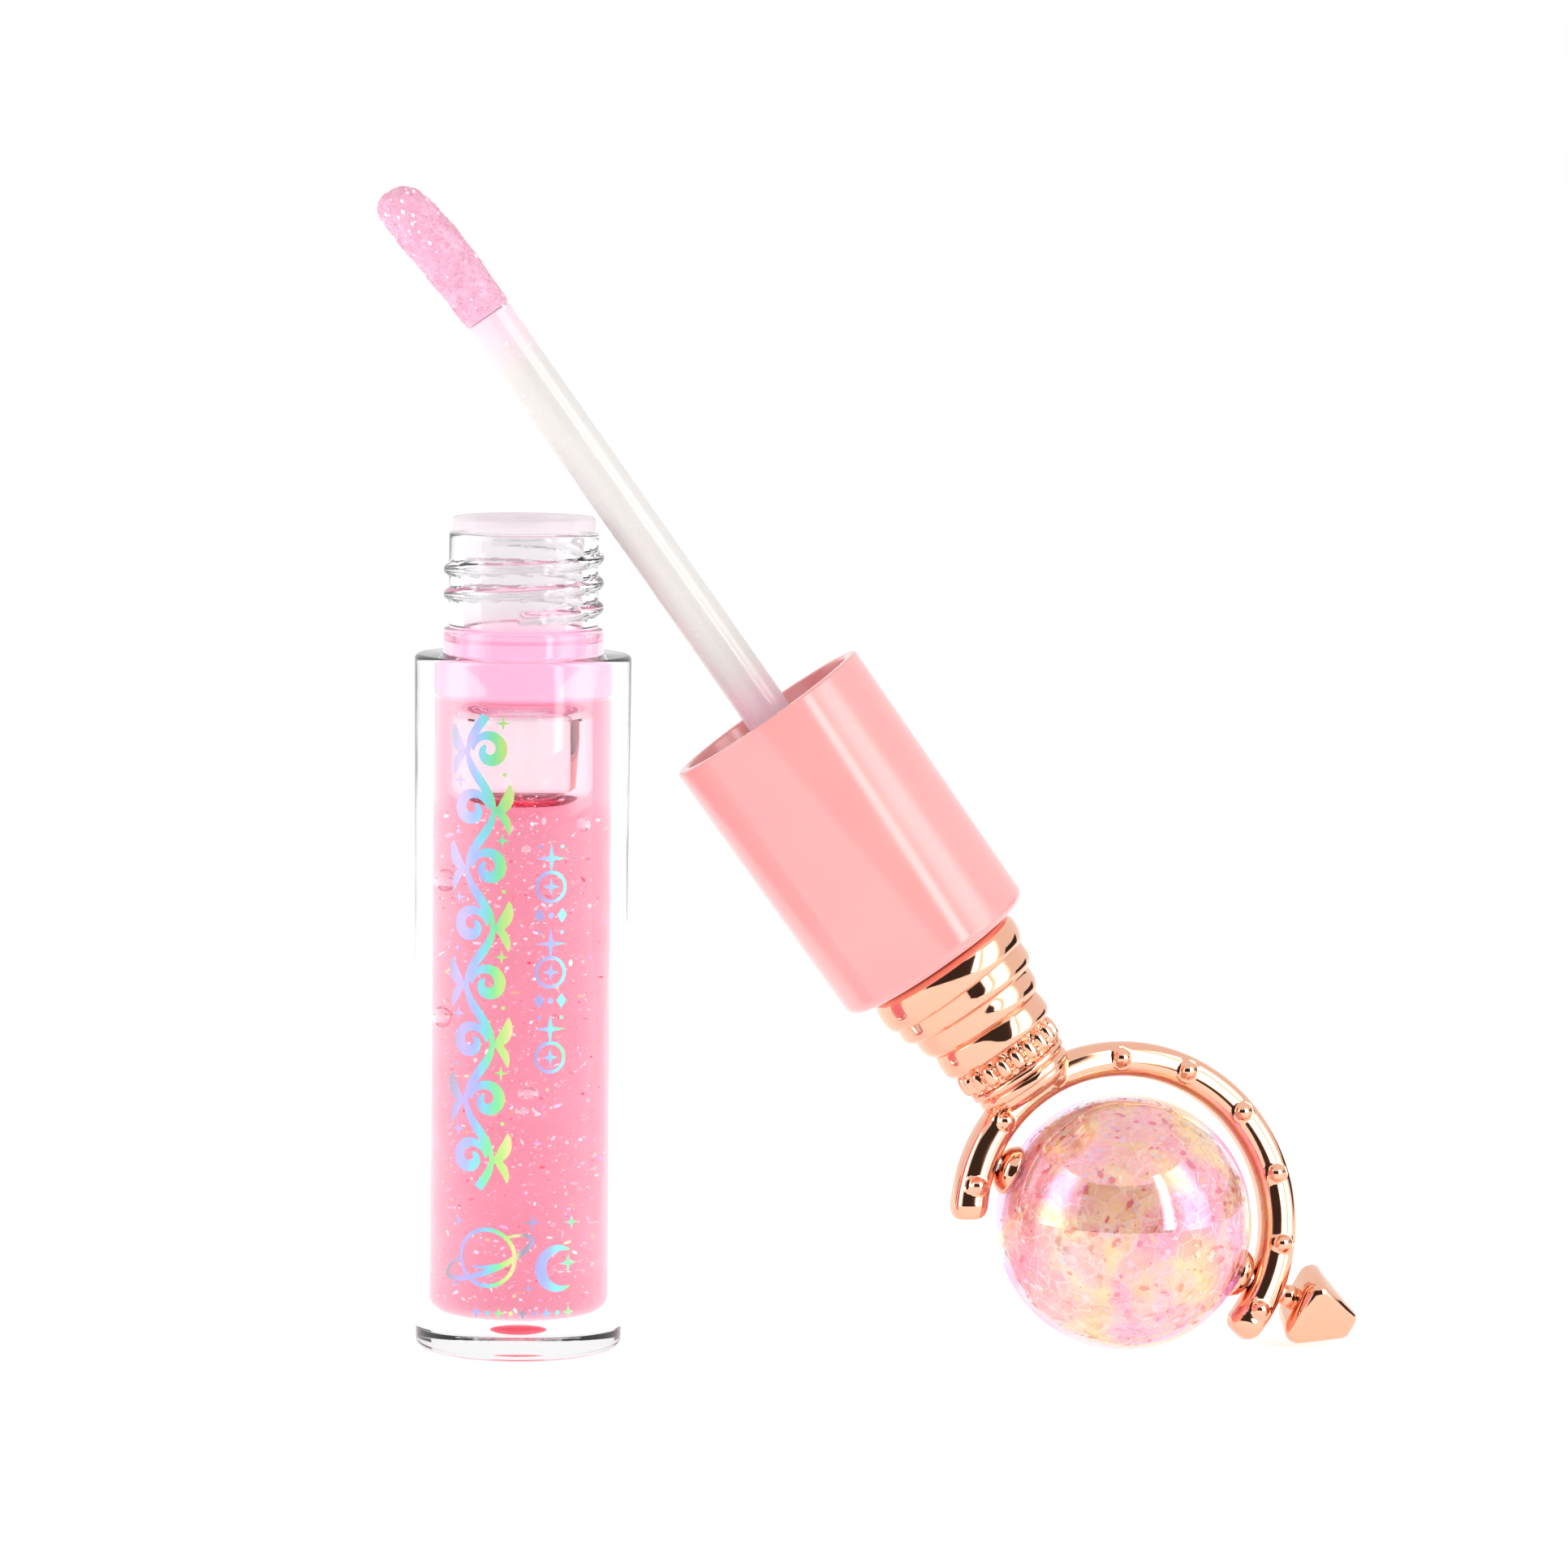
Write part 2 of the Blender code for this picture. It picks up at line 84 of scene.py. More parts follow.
CAMERA_PLACE = (0.021716, -0.490358, 0.098838)
CAMERA_PITCH, CAMERA_ROLL = -6.0, -0.69


# Sizes and colours -------------------------------------------------------------------------

def linear(code):
    """An sRGB hex colour as linear red, green and blue."""
    shares = [int(code[i:i + 2], 16) / 255 for i in (1, 3, 5)]
    return [s / 12.92 if s <= 0.04045 else ((s + 0.055) / 1.055) ** 2.4 for s in shares]


def size(name, description, millimetres):
    """A length setting, given in millimetres and kept in metres."""
    return FloatProperty(name=name, description=description, default=millimetres * MM,
                         min=0.0, unit="LENGTH", precision=5)


def colour(name, description, code):
    """A colour setting, given as an sRGB hex colour."""
    return FloatVectorProperty(name=name, description=description, default=linear(code),
                               min=0.0, max=1.0, size=3, subtype="COLOR")


class BottleSizes(PropertyGroup):
    base_radius: size("Base radius", "Outer radius just above the base", 8.6)
    shoulder_radius: size("Shoulder radius", "Outer radius just below the shoulder", 9.0)
    shoulder: size("Shoulder height", "Height of the flat shoulder", 57.9)
    floor: size("Floor thickness", "Thickness of the clear floor under the chamber", 2.9)
    bore: size("Bore radius", "Radius of the chamber", 5.0)
    neck: size("Neck radius", "Radius of the neck at the root of its thread", 6.2)
    bead: size("Bead radius", "Radius of the bead round the foot of the neck", 6.65)
    thread_start: size("Thread start", "Height at which the thread begins", 61.24)
    pitch: size("Thread pitch", "Rise of the thread in one turn", 2.05)
    thread_turns: FloatProperty(name="Thread turns", description="Length of the thread in turns",
                                default=2.6, min=1.0)
    level: size("Gloss level", "Height of the gloss under the air pocket", 45.4)


class ClosureSizes(PropertyGroup):
    cap_end: size("Cap end", "Height of the cap's closed end above the globe's centre", 27.3)
    cap_mouth: size("Cap mouth", "Height of the cap's mouth above the globe's centre", 52.2)
    cap_radius: size("Cap radius", "Outer radius of the cap at its mouth", 8.98)
    cap_wall: size("Cap wall", "Wall thickness of the cap", 1.05)
    rod_radius: size("Rod radius", "Radius of the wand's rod", 2.02)
    flock_start: size("Flock start", "Height at which the flocked tip begins", 92.0)
    tip: size("Wand tip", "Height of the very end of the flocked tip", 105.1)
    arm_inner: size("Arm inner radius", "Inner radius of the meridian arm", 12.1)
    arm_outer: size("Arm outer radius", "Outer radius of the meridian arm", 15.1)
    arm_depth: size("Arm half depth", "Half the depth of the meridian arm", 1.75)
    ball: size("Globe radius", "Radius of the crackle globe", 10.7)
    pearls: IntProperty(name="Pearls", description="Pearls along the arm", default=9, min=1)
    eggs: IntProperty(name="Eggs", description="Eggs round the ring", default=20, min=6)


class Colours(PropertyGroup):
    shell: colour("Cap", "Moulded salmon pink of the cap", "#F9A6A4")
    rod: colour("Rod", "Warm milky white of the wand's rod", "#E8E4E1")
    flock: colour("Flock", "Wet pink flock of the applicator tip", "#FFC0DA")
    wiper: colour("Wiper", "Milky polyethylene of the wiper", "#E9DDE4")
    liner: colour("Liner", "White polypropylene of the inner cap", "#EFECE8")
    gel: colour("Gloss haze", "Pink haze of the gloss against the wall", "#FFB6D8")
    plating: colour("Plating", "Rose gold of the plated ornament", "#F0B79B")
    crackle: colour("Crackle", "Peach pink inside the crackle globe", "#FAB8B4")


# Modelling tools ---------------------------------------------------------------------------

def fresh():
    """Leave edit mode and let go of everything, so that the next tool has one piece to work on."""
    if bpy.context.object and bpy.context.object.mode != "OBJECT":
        bpy.ops.object.mode_set(mode="OBJECT")
    bpy.ops.object.select_all(action="DESELECT")


def take(*pieces):
    """Select these pieces and no others, the first of them active."""
    fresh()
    for piece in pieces:
        piece.select_set(True)
    bpy.context.view_layer.objects.active = pieces[0]


def arc(centre, radius, start, end, steps=6):
    """Points along an arc in the (radius, height) plane, angles in degrees."""
    angles = [math.radians(start + (end - start) * i / steps) for i in range(steps + 1)]
    return [(centre[0] + radius * math.cos(a), centre[1] + radius * math.sin(a))
            for a in angles]


def flowing(points, steps=8):
    """A smooth line through points, straight on past its two ends."""
    given = [Vector(p) for p in points]
    given = [2 * given[0] - given[1]] + given + [2 * given[-1] - given[-2]]
    line = []
    for a, b, c, d in zip(given, given[1:], given[2:], given[3:]):
        for i in range(steps):
            t = i / steps
            line.append((2 * b + (c - a) * t + (2 * a - 5 * b + 4 * c - d) * t ** 2
                         + (3 * b - a - 3 * c + d) * t ** 3) / 2)
    return [tuple(p) for p in line] + [tuple(given[-2])]


def turned(name, outline, segments=96):
    """Spin an outline of (radius, height) points, in millimetres, about z into a closed solid.

    An outline that starts or ends off the axis is the section of a ring.
    """
    if outline[0][0] > 0 or outline[-1][0] > 0:
        outline = outline + [outline[0]]
    line = [Vector((radius, 0.0, height)) * MM for radius, height in outline]
    fresh()
    bpy.ops.mesh.primitive_plane_add(size=MM, location=line[0])
    piece = bpy.context.object
    piece.name = name
    piece.data.name = name
    bpy.ops.object.transform_apply(location=True)
    bpy.ops.object.mode_set(mode="EDIT")
    bpy.ops.mesh.merge(type="CENTER")
    for here, there in zip(line, line[1:]):
        bpy.ops.mesh.extrude_vertices_move(TRANSFORM_OT_translate={"value": there - here})
    bpy.ops.mesh.select_all(action="SELECT")
    bpy.ops.mesh.spin(steps=segments, angle=2 * math.pi, center=(0, 0, 0), axis=(0, 0, 1))
    close_up()
    return piece


def close_up():
    """Merge the doubles of the piece in edit mode, turn its faces outwards, leave edit mode."""
    bpy.ops.mesh.select_all(action="SELECT")
    bpy.ops.mesh.remove_doubles(threshold=0.002 * MM)
    bpy.ops.mesh.normals_make_consistent(inside=False)
    bpy.ops.object.mode_set(mode="OBJECT")


def reshape(piece, rule):
    """Move each vertex to where the rule sends it."""
    for point in piece.data.vertices:
        point.co = rule(point.co)


def sheet(name, across, along, rule, closed=True):
    """A grid whose points (-1 to 1 both ways) go where the rule sends them."""
    fresh()
    bpy.ops.mesh.primitive_grid_add(x_subdivisions=across, y_subdivisions=along, size=2)
    piece = bpy.context.object
    piece.name = name
    reshape(piece, lambda co: Vector(rule(co.x, co.y)))
    if closed:
        bpy.ops.object.mode_set(mode="EDIT")
        close_up()
    return piece


def context_piece(name):
    """The piece that the last tool added, under its own name and with its place in its mesh."""
    piece = bpy.context.object
    piece.name = name
    bpy.ops.object.transform_apply(location=True, rotation=True, scale=True)
    return piece


def faced(piece, turn_inwards=False):
    """Turn all the faces of a piece outwards, or just over."""
    take(piece)
    bpy.ops.object.mode_set(mode="EDIT")
    bpy.ops.mesh.select_all(action="SELECT")
    if turn_inwards:
        bpy.ops.mesh.flip_normals()
    else:
        bpy.ops.mesh.normals_make_consistent(inside=False)
    bpy.ops.object.mode_set(mode="OBJECT")


def joined(name, *pieces):
    """Make one piece of several, under a new name."""
    take(*pieces)
    if len(pieces) > 1:
        bpy.ops.object.join()
    pieces[0].name = name
    return pieces[0]


def repeated(piece, places):
    """Copy a small shape to each of many places, all in its one mesh."""
    take(piece)
    bpy.ops.object.modifier_add(type="ARRAY")
    array = piece.modifiers[-1]
    array.count = len(places)
    array.relative_offset_displace = (0, 0, 0)
    bpy.ops.object.modifier_apply(modifier=array.name)
    share = len(piece.data.vertices) // len(places)
    for i, point in enumerate(piece.data.vertices):
        point.co = places[i // share] @ point.co
    return piece


def in_space(co):
    """A key that sorts spots by where they are, to a tenth of a micrometre."""
    return tuple(round(value / MM, 4) for value in co)


def scatter(draw):
    """A vector that may point anywhere, as often one way as another."""
    return Vector((draw.gauss(0, 1), draw.gauss(0, 1), draw.gauss(0, 1)))


def draw_rotation(draw):
    """A turn drawn evenly from all there are."""
    u, v, w = draw.random(), draw.random(), draw.random()
    around = 2 * math.pi
    a, b = math.sqrt(1 - u), math.sqrt(u)
    turn = Vector((a * math.sin(around * v), a * math.cos(around * v),
                   b * math.sin(around * w), b * math.cos(around * w)))
    return Quaternion(turn).to_matrix()


def marked(piece, name, values):
    """Keep one number for each vertex, for the piece's material to read."""
    own = piece.data.attributes.new(name, "FLOAT", "POINT")
    for spot, value in zip(own.data, values):
        spot.value = value


def toned(piece, tones):
    """Keep one number for each repeated shape."""
    share = len(piece.data.vertices) // len(tones)
    marked(piece, "tone", [tone for tone in tones for _ in range(share)])


def applied(piece, kind, **settings):
    """Add a modifier with its settings and apply it."""
    take(piece)
    bpy.ops.object.modifier_add(type=kind)
    step = piece.modifiers[-1]
    for name, value in settings.items():
        setattr(step, name, value)
    bpy.ops.object.modifier_apply(modifier=step.name)


def finished(piece, body, finish, stands_for=(), place=None, smooth=30.0):
    """Smooth a piece, put it in its place, give it its finish and let it ride on its body."""
    take(piece)
    if place is not None:
        piece.matrix_world = place
        bpy.ops.object.transform_apply(location=True, rotation=True, scale=True)
    bpy.ops.object.shade_smooth_by_angle(angle=math.radians(smooth))
    piece.data.name = piece.name
    if finish is not None:
        piece.data.materials.clear()
        piece.data.materials.append(finish)
    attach(piece, body)
    if stands_for:
        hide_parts(*stands_for)
    return piece


def named(rows, name):
    return next(row for row in rows if row["name"] == name)


def closure_frame():
    """The closure's frame: z along the wand, x and z in the plane of the meridian arm."""
    spin = named(frame["joints"], "globe_spin")
    mouth = named(frame["record"]["mounts"], "cap_mouth_rim")
    wand = Vector(mouth["axis"]).normalized()
    pole = Vector(spin["axis"])
    across = (pole - pole.dot(wand) * wand).normalized()
    turn = Matrix((across, wand.cross(across), wand)).transposed().to_4x4()
    return Matrix.Translation(spin["pos_m"]) @ turn


def globe_frame():
    """The globe's frame: z along its pin, towards the turning knob."""
    spin = named(frame["joints"], "globe_spin")
    pole = Vector(spin["axis"]).normalized()
    depth = closure_frame().to_3x3() @ Vector((0, 1, 0))
    turn = Matrix((depth.cross(pole), depth, pole)).transposed().to_4x4()
    return Matrix.Translation(spin["pos_m"]) @ turn


# Materials ---------------------------------------------------------------------------------

def node(tree, kind, inputs=None, **settings):
    """Add a node with its settings and its inputs, each a value or the socket it is fed from."""
    made = tree.nodes.new("ShaderNode" + kind)
    for name, value in settings.items():
        setattr(made, name, value)
    for name, value in (inputs or {}).items():
        if isinstance(value, bpy.types.NodeSocket):
            tree.links.new(value, made.inputs[name])
        else:
            made.inputs[name].default_value = value
    return made


def surface(name, inputs):
    """A material with one Principled shader; returns it, its tree and that shader."""
    made = bpy.data.materials.new(name)
    made.use_nodes = True
    tree = made.node_tree
    shader = tree.nodes["Principled BSDF"]
    for key, value in inputs.items():
        shader.inputs[key].default_value = value
    return made, tree, shader


def bare(name):
    """A material with nothing but its output; returns it, its tree and its surface socket."""
    made, tree, shader = surface(name, {})
    tree.nodes.remove(shader)
    return made, tree, tree.nodes["Material Output"].inputs["Surface"]


def opaque(rgb):
    """A colour with full alpha, from a hex code or from linear red, green and blue."""
    return (*(linear(rgb) if isinstance(rgb, str) else rgb), 1.0)


def shades(rgb, factor, lift=0.0):
    """A darker or lighter shade of a linear colour."""
    return [min(1.0, c * factor + lift) for c in rgb]


def ramp(tree, fac, stops, interpolation="EASE"):
    """A colour ramp over fac, its stops given as (place, colour)."""
    made = node(tree, "ValToRGB", {"Fac": fac})
    made.color_ramp.interpolation = interpolation
    points = made.color_ramp.elements
    while len(points) < len(stops):
        points.new(0.5)
    for point, (place, rgb) in zip(points, stops):
        point.position = place
        point.color = opaque(rgb)
    return made.outputs["Color"]


def places(tree):
    """Object coordinates in millimetres."""
    own = node(tree, "TexCoord").outputs["Object"]
    return node(tree, "Mapping", {"Vector": own, "Scale": (1 / MM,) * 3}).outputs["Vector"]


def height_of(tree):
    return node(tree, "SeparateXYZ", {"Vector": places(tree)}).outputs["Z"]


def attribute(tree, name):
    return node(tree, "Attribute", attribute_name=name).outputs["Fac"]


def noise(tree, scale, detail, **inputs):
    """Noise through the piece; scale is its grains for each millimetre."""
    return node(tree, "TexNoise", {"Vector": places(tree), "Scale": scale, "Detail": detail,
                                   **inputs}).outputs["Fac"]


def spread(tree, value, start, end, low=0.0, high=1.0, **settings):
    """Carry the range from start to end over to the range from low to high."""
    return node(tree, "MapRange", {"Value": value, "From Min": start, "From Max": end,
                                   "To Min": low, "To Max": high}, **settings
                ).outputs["Result"]


def maths(tree, operation, *values):
    return node(tree, "Math", dict(enumerate(values)), operation=operation).outputs[0]


def mixed(tree, share, one, two, blend_type="MIX"):
    return node(tree, "MixRGB", {"Fac": share, "Color1": one, "Color2": two},
                blend_type=blend_type).outputs["Color"]


def bumped(tree, shader, height, depth_mm, strength=1.0):
    bump = node(tree, "Bump", {"Height": height, "Strength": strength,
                               "Distance": depth_mm * MM})
    tree.links.new(bump.outputs["Normal"], shader.inputs["Normal"])


def rough_and_bump(tree, shader, scale_mm, low, high, depth_mm, detail=2.0):
    """Let roughness wander between low and high, with a shallow bump of the same grain."""
    grain = noise(tree, 1 / scale_mm, detail)
    tree.links.new(spread(tree, grain, 0.35, 0.65, low, high), shader.inputs["Roughness"])
    bumped(tree, shader, grain, depth_mm)


def clear_plastic():
    """Injection-moulded acrylic: clear, thick and glossy, with faint flow waves."""
    made, tree, shader = surface("clear_moulded_acrylic", {
        "Base Color": (0.955, 0.955, 0.97, 1.0), "Transmission Weight": 1.0,
        "IOR": PLASTIC_IOR, "Roughness": 0.0})
    bumped(tree, shader, noise(tree, 0.22, 0.0), 0.03)
    return made


def wetted_wall():
    """The chamber's wall where gloss wets it: oil and acrylic bend light alike, so it vanishes."""
    made, _, _ = surface("wetted_acrylic", {"Alpha": 0.0, "Roughness": 1.0})
    return made


def gloss_gel(rgb, level_mm):
    """Pink gloss oil: it colours the light that crosses it, with a thin haze at the wall.

    The inside of the air pocket, marked by its own attribute, is a clear boundary with air.
    """
    made, tree, shader = surface("pink_gloss_oil", {
        "Base Color": opaque(rgb), "IOR": GEL_IOR, "Roughness": 0.0})
    pocket = attribute(tree, "pocket")
    veil = spread(tree, noise(tree, 0.3, 3.0), 0.3, 0.7, 0.16, 0.26)
    body = spread(tree, height_of(tree), level_mm - 1.5, level_mm + 0.5, 1.0, 0.25)
    alpha = node(tree, "Mix", {"Factor": pocket, "A": maths(tree, "MULTIPLY", veil, body),
                               "B": 1.0})
    tree.links.new(alpha.outputs["Result"], shader.inputs["Alpha"])
    tree.links.new(pocket, shader.inputs["Transmission Weight"])
    tree.links.new(mixed(tree, pocket, opaque(rgb), (1, 1, 1, 1)), shader.inputs["Base Color"])
    dye = node(tree, "VolumeAbsorption", {"Color": (0.9685, 0.0, 0.264, 1.0),
                                          "Density": 128.0})
    tree.links.new(dye.outputs["Volume"], tree.nodes["Material Output"].inputs["Volume"])
    return made


def deep_gloss():
    """Pink gloss oil where it stands deep and dark in a mould mark, with a painted glow of its
    own.
    """
    # The emission is a painted glow: the lens gives off light in its own deep pink.
    made, _, _ = surface("deep_pink_gloss_painted_glow", {
        "Base Color": opaque("#F2526C"), "IOR": GEL_IOR, "Roughness": 0.1,
        "Emission Color": opaque("#F2526C"), "Emission Strength": 0.35})
    return made


def trapped_air_painted_glow():
    """A bubble of air in the gloss: light bends the other way at its skin, and a painted pale pink
    glow lightens it.
    """
    # The emission is a painted glow: each bubble gives off faint pale pink light of its own.
    made, _, _ = surface("trapped_air_painted_glow", {
        "Transmission Weight": 1.0, "IOR": 1 / GEL_IOR, "Roughness": 0.0,
        "Emission Color": opaque("#FFE3EC"), "Emission Strength": 0.22})
    return made


def glitter_flakes():
    """Cut polyester glitter: small mirror flakes in pearl white, gold, rose and lilac, with a
    painted glow in their own tint.
    """
    made, tree, shader = surface("cut_polyester_glitter_painted_glow", {
        "Metallic": 0.2, "Roughness": 0.2, "Emission Strength": 0.9})
    stops = [(0.0, "#FFF4F6"), (0.45, "#FFE9F2"), (0.6, "#FFE7B8"), (0.72, "#FF9DB6"),
             (0.84, "#E9C8FF"), (0.93, "#E8506E")]
    tint = ramp(tree, attribute(tree, "tone"), stops, "CONSTANT")
    tree.links.new(tint, shader.inputs["Base Color"])
    # Painted glints: the flakes give off light in their own tint, so that they shine from both
    # sides in the gloss
    tree.links.new(tint, shader.inputs["Emission Color"])
    return made


def holographic_foil():
    """Hot-stamped holographic foil: mirror metal split into soft bands of pastel colour."""
    made, tree, shader = surface("hot_stamped_holographic_foil", {
        "Metallic": 1.0, "Roughness": 0.3})
    across = node(tree, "SeparateXYZ", {"Vector": places(tree)}).outputs["X"]
    shift = spread(tree, noise(tree, 0.12, 1.0), 0.3, 0.7, -0.9, 0.9)
    turn = maths(tree, "DIVIDE", maths(tree, "ADD", across, shift), RAINBOW_REPEAT)
    stops = [(0.0, "#E9E6A4"), (0.12, "#A5A1B2"), (0.3, "#B4A6DA"), (0.45, "#A5B2F2"),
             (0.58, "#8CD6E2"), (0.72, "#8CE8AC"), (0.86, "#C2EA8C"), (1.0, "#E9E6A4")]
    tree.links.new(ramp(tree, maths(tree, "FRACT", turn), stops), shader.inputs["Base Color"])
    return made


def milky_polyethylene_painted_glow(rgb, rose, low_mm, high_mm, flange_mm):
    """Moulded low-density polyethylene: milky, soft and waxy, rosy where gloss wets it, with a
    painted glow.
    """
    made, tree, shader = surface("milky_polyethylene_painted_glow", {
        "Base Color": opaque(rgb), "Roughness": 0.35, "IOR": 1.51,
        "Emission Strength": 0.5})
    height = height_of(tree)
    share = spread(tree, height, low_mm, high_mm, interpolation_type="SMOOTHSTEP")
    tree.links.new(ramp(tree, share, [(0.0, rose), (1.0, rgb)]), shader.inputs["Base Color"])
    # Painted glow: the wiper gives off light of its own, rose in the wetted part and faint above,
    # in place of light scattered inside the wall
    tree.links.new(ramp(tree, share, [(0.0, rose), (1.0, shades(rgb, 0.25))]),
                   shader.inputs["Emission Color"])
    flange = maths(tree, "GREATER_THAN", height, flange_mm)
    wall = spread(tree, share, 0.0, 1.0, 0.34, 0.14)
    tree.links.new(maths(tree, "MULTIPLY_ADD", flange, 0.36, wall), shader.inputs["Alpha"])
    return made


def salmon_shell(rgb):
    """Injection-moulded ABS with a polished skin, salmon pink all through, with a faint painted
    glow.
    """
    # The emission is a faint painted glow in the cap's own salmon.
    made, tree, shader = surface("polished_abs_painted_glow", {
        "Base Color": opaque(rgb), "IOR": 1.54, "Coat Weight": 0.35, "Coat Roughness": 0.03,
        "Emission Color": opaque(rgb), "Emission Strength": 0.06,
        "Subsurface Weight": 0.12, "Subsurface Radius": (1.0, 0.35, 0.3),
        "Subsurface Scale": 0.8 * MM})
    stops = [(0.3, shades(rgb, 0.96)), (0.7, shades(rgb, 1.04, 0.01))]
    tree.links.new(ramp(tree, noise(tree, 0.08, 1.0), stops), shader.inputs["Base Color"])
    rough_and_bump(tree, shader, 6.0, 0.12, 0.2, 0.004)
    return made


def moulded_polypropylene(rgb):
    """Moulded polypropylene: plain white with a soft, slightly waxy gloss."""
    made, tree, shader = surface("moulded_polypropylene", {
        "Base Color": opaque(rgb), "IOR": 1.49, "Subsurface Weight": 0.2,
        "Subsurface Scale": 1.0 * MM})
    rough_and_bump(tree, shader, 3.0, 0.3, 0.42, 0.003)
    return made


def wetted_rod(rgb, rose, start_mm, end_mm):
    """The wand's translucent rod, filmed with gloss towards the tip and inside the cap.

    The film's share is drawn from the distance along the rod, kept as the piece's attribute.
    """
    made, tree, shader = surface("translucent_polypropylene", {
        "Base Color": opaque(rgb), "IOR": 1.49, "Coat Weight": 0.2, "Coat Roughness": 0.02,
        "Subsurface Weight": 0.35, "Subsurface Radius": (1.0, 0.9, 0.9),
        "Subsurface Scale": 1.5 * MM})
    share = spread(tree, attribute(tree, "along"), start_mm, end_mm)
    pale = shades(rgb, 0.97)
    stops = [(0.0, rose), (0.13, pale), (0.3, rgb), (0.62, rgb), (0.85, pale), (1.0, rose)]
    tree.links.new(ramp(tree, share, stops), shader.inputs["Base Color"])
    rough_and_bump(tree, shader, 2.2, 0.16, 0.3, 0.012)
    return made


def gloss_drops():
    """Thick beads of gloss: smooth and pale pink, with a painted glow that makes them shine."""
    # The emission is a painted glow: the beads give off pale pink light of their own.
    made, _, _ = surface("gloss_beads_painted_glow", {
        "Base Color": opaque("#FFF0F6"), "IOR": GEL_IOR, "Roughness": 0.03,
        "Emission Color": opaque("#FFF0F6"), "Emission Strength": 0.45})
    return made


def wet_flock(rgb):
    """Nylon flock soaked in gloss: matted pink pile with wet glints."""
    made, tree, shader = surface("wet_nylon_flock", {
        "Base Color": opaque(rgb), "IOR": 1.47, "Sheen Weight": 0.35, "Sheen Roughness": 0.4,
        "Coat Weight": 0.25, "Coat Roughness": 0.12, "Subsurface Weight": 0.3,
        "Subsurface Radius": (1.0, 0.6, 0.8), "Subsurface Scale": 1.2 * MM})
    stops = [(0.32, shades(rgb, 0.93)), (0.5, rgb), (0.7, shades(rgb, 1.1, 0.03))]
    tree.links.new(ramp(tree, noise(tree, 1.4, 4.0), stops), shader.inputs["Base Color"])
    rough_and_bump(tree, shader, 0.22, 0.35, 0.6, 0.05, detail=3.0)
    return made


def rose_gold(rgb):
    """Vacuum-plated rose gold over a polished casting: a mirror with a faint casting ripple."""
    made, tree, shader = surface("rose_gold_plating", {
        "Base Color": opaque(rgb), "Metallic": 1.0})
    rough_and_bump(tree, shader, 2.4, 0.045, 0.09, 0.006)
    return made


def ground_steel():
    """Ground steel pin stock."""
    made, tree, shader = surface("ground_steel", {
        "Base Color": (0.6, 0.6, 0.62, 1.0), "Metallic": 1.0})
    rough_and_bump(tree, shader, 0.3, 0.2, 0.3, 0.002)
    return made


def crackled_resin(rgb):
    """Quench-crackled glass seen through its skin: pieces of peach pink, cream and rose
    parted by fine cracks, with milky patches where the cracks lie flat to the eye, and a painted
    glow in the same colours."""
    made, tree, shader = surface("crackled_glass_core_painted_glow", {
        "Base Color": opaque(rgb), "IOR": 1.45, "Emission Strength": 0.2,
        "Subsurface Weight": 0.25,
        "Subsurface Radius": (1.0, 0.5, 0.45), "Subsurface Scale": 2.0 * MM})
    spots = places(tree)
    warp = node(tree, "TexNoise", {"Vector": spots, "Scale": 0.35, "Detail": 2.0})
    bent = mixed(tree, 0.25, spots, warp.outputs["Color"], "ADD")

    def cells(scale, feature, output):
        return node(tree, "TexVoronoi", {"Vector": bent, "Scale": scale},
                    feature=feature).outputs[output]

    fine = cells(1.1, "DISTANCE_TO_EDGE", "Distance")
    base = ramp(tree, noise(tree, 0.13, 2.0), [
        (0.3, "#F7A7A2"), (0.42, rgb), (0.52, "#FFDDB0"), (0.6, "#FFC6CC"), (0.72, "#F0B9AE")])
    tone = node(tree, "SeparateColor", {"Color": cells(0.7, "F1", "Color")}).outputs["Red"]
    shade = ramp(tree, tone, [(0.0, (0.86, 0.76, 0.74)), (0.5, (1, 1, 1)), (1.0, (1, 0.9, 0.86))])
    pieces = mixed(tree, 0.6, base, shade, "MULTIPLY")
    line = spread(tree, cells(0.7, "DISTANCE_TO_EDGE", "Distance"), 0.0, 0.05, 0.8, 0.0)
    cracked = mixed(tree, line, pieces, opaque("#FFE6DC"))
    frost = noise(tree, 0.5, 6.0, Roughness=0.7)
    milky = mixed(tree, spread(tree, frost, 0.56, 0.66, 0.0, 0.75), cracked, opaque("#FBE3DC"))
    tree.links.new(milky, shader.inputs["Base Color"])
    # Painted glow: the core gives off light in its own colours all over, in place of light that
    # crosses the clear glass
    tree.links.new(milky, shader.inputs["Emission Color"])
    tree.links.new(spread(tree, fine, 0.0, 0.2, 0.15, 0.5), shader.inputs["Roughness"])
    bumped(tree, shader, fine, 0.35, 0.8)
    return made


def aurora_coat():
    """A vapour-deposited aurora film on glass: clear, with a mirror share that rises towards
    the rim and takes pink, violet, gold or cyan from the film's thickness."""
    made, tree, out = bare("aurora_coated_glass")
    hue = ramp(tree, noise(tree, 0.075, 1.0, Distortion=0.6), [
        (0.3, "#FFE9D0"), (0.38, "#FFB8F4"), (0.46, "#FFC8FF"), (0.54, "#FFF6C4"),
        (0.62, "#E6FAFF"), (0.74, "#FFB4EC")])
    mirror = node(tree, "BsdfAnisotropic", {"Color": hue, "Roughness": 0.015}).outputs[0]
    clear = node(tree, "BsdfTransparent").outputs[0]
    rim = node(tree, "LayerWeight", {"Blend": 0.35}).outputs["Fresnel"]
    both = node(tree, "MixShader", {0: spread(tree, rim, 0.0, 1.0, 0.2, 0.6), 1: clear,
                                    2: mirror})
    tree.links.new(both.outputs[0], out)
    return made


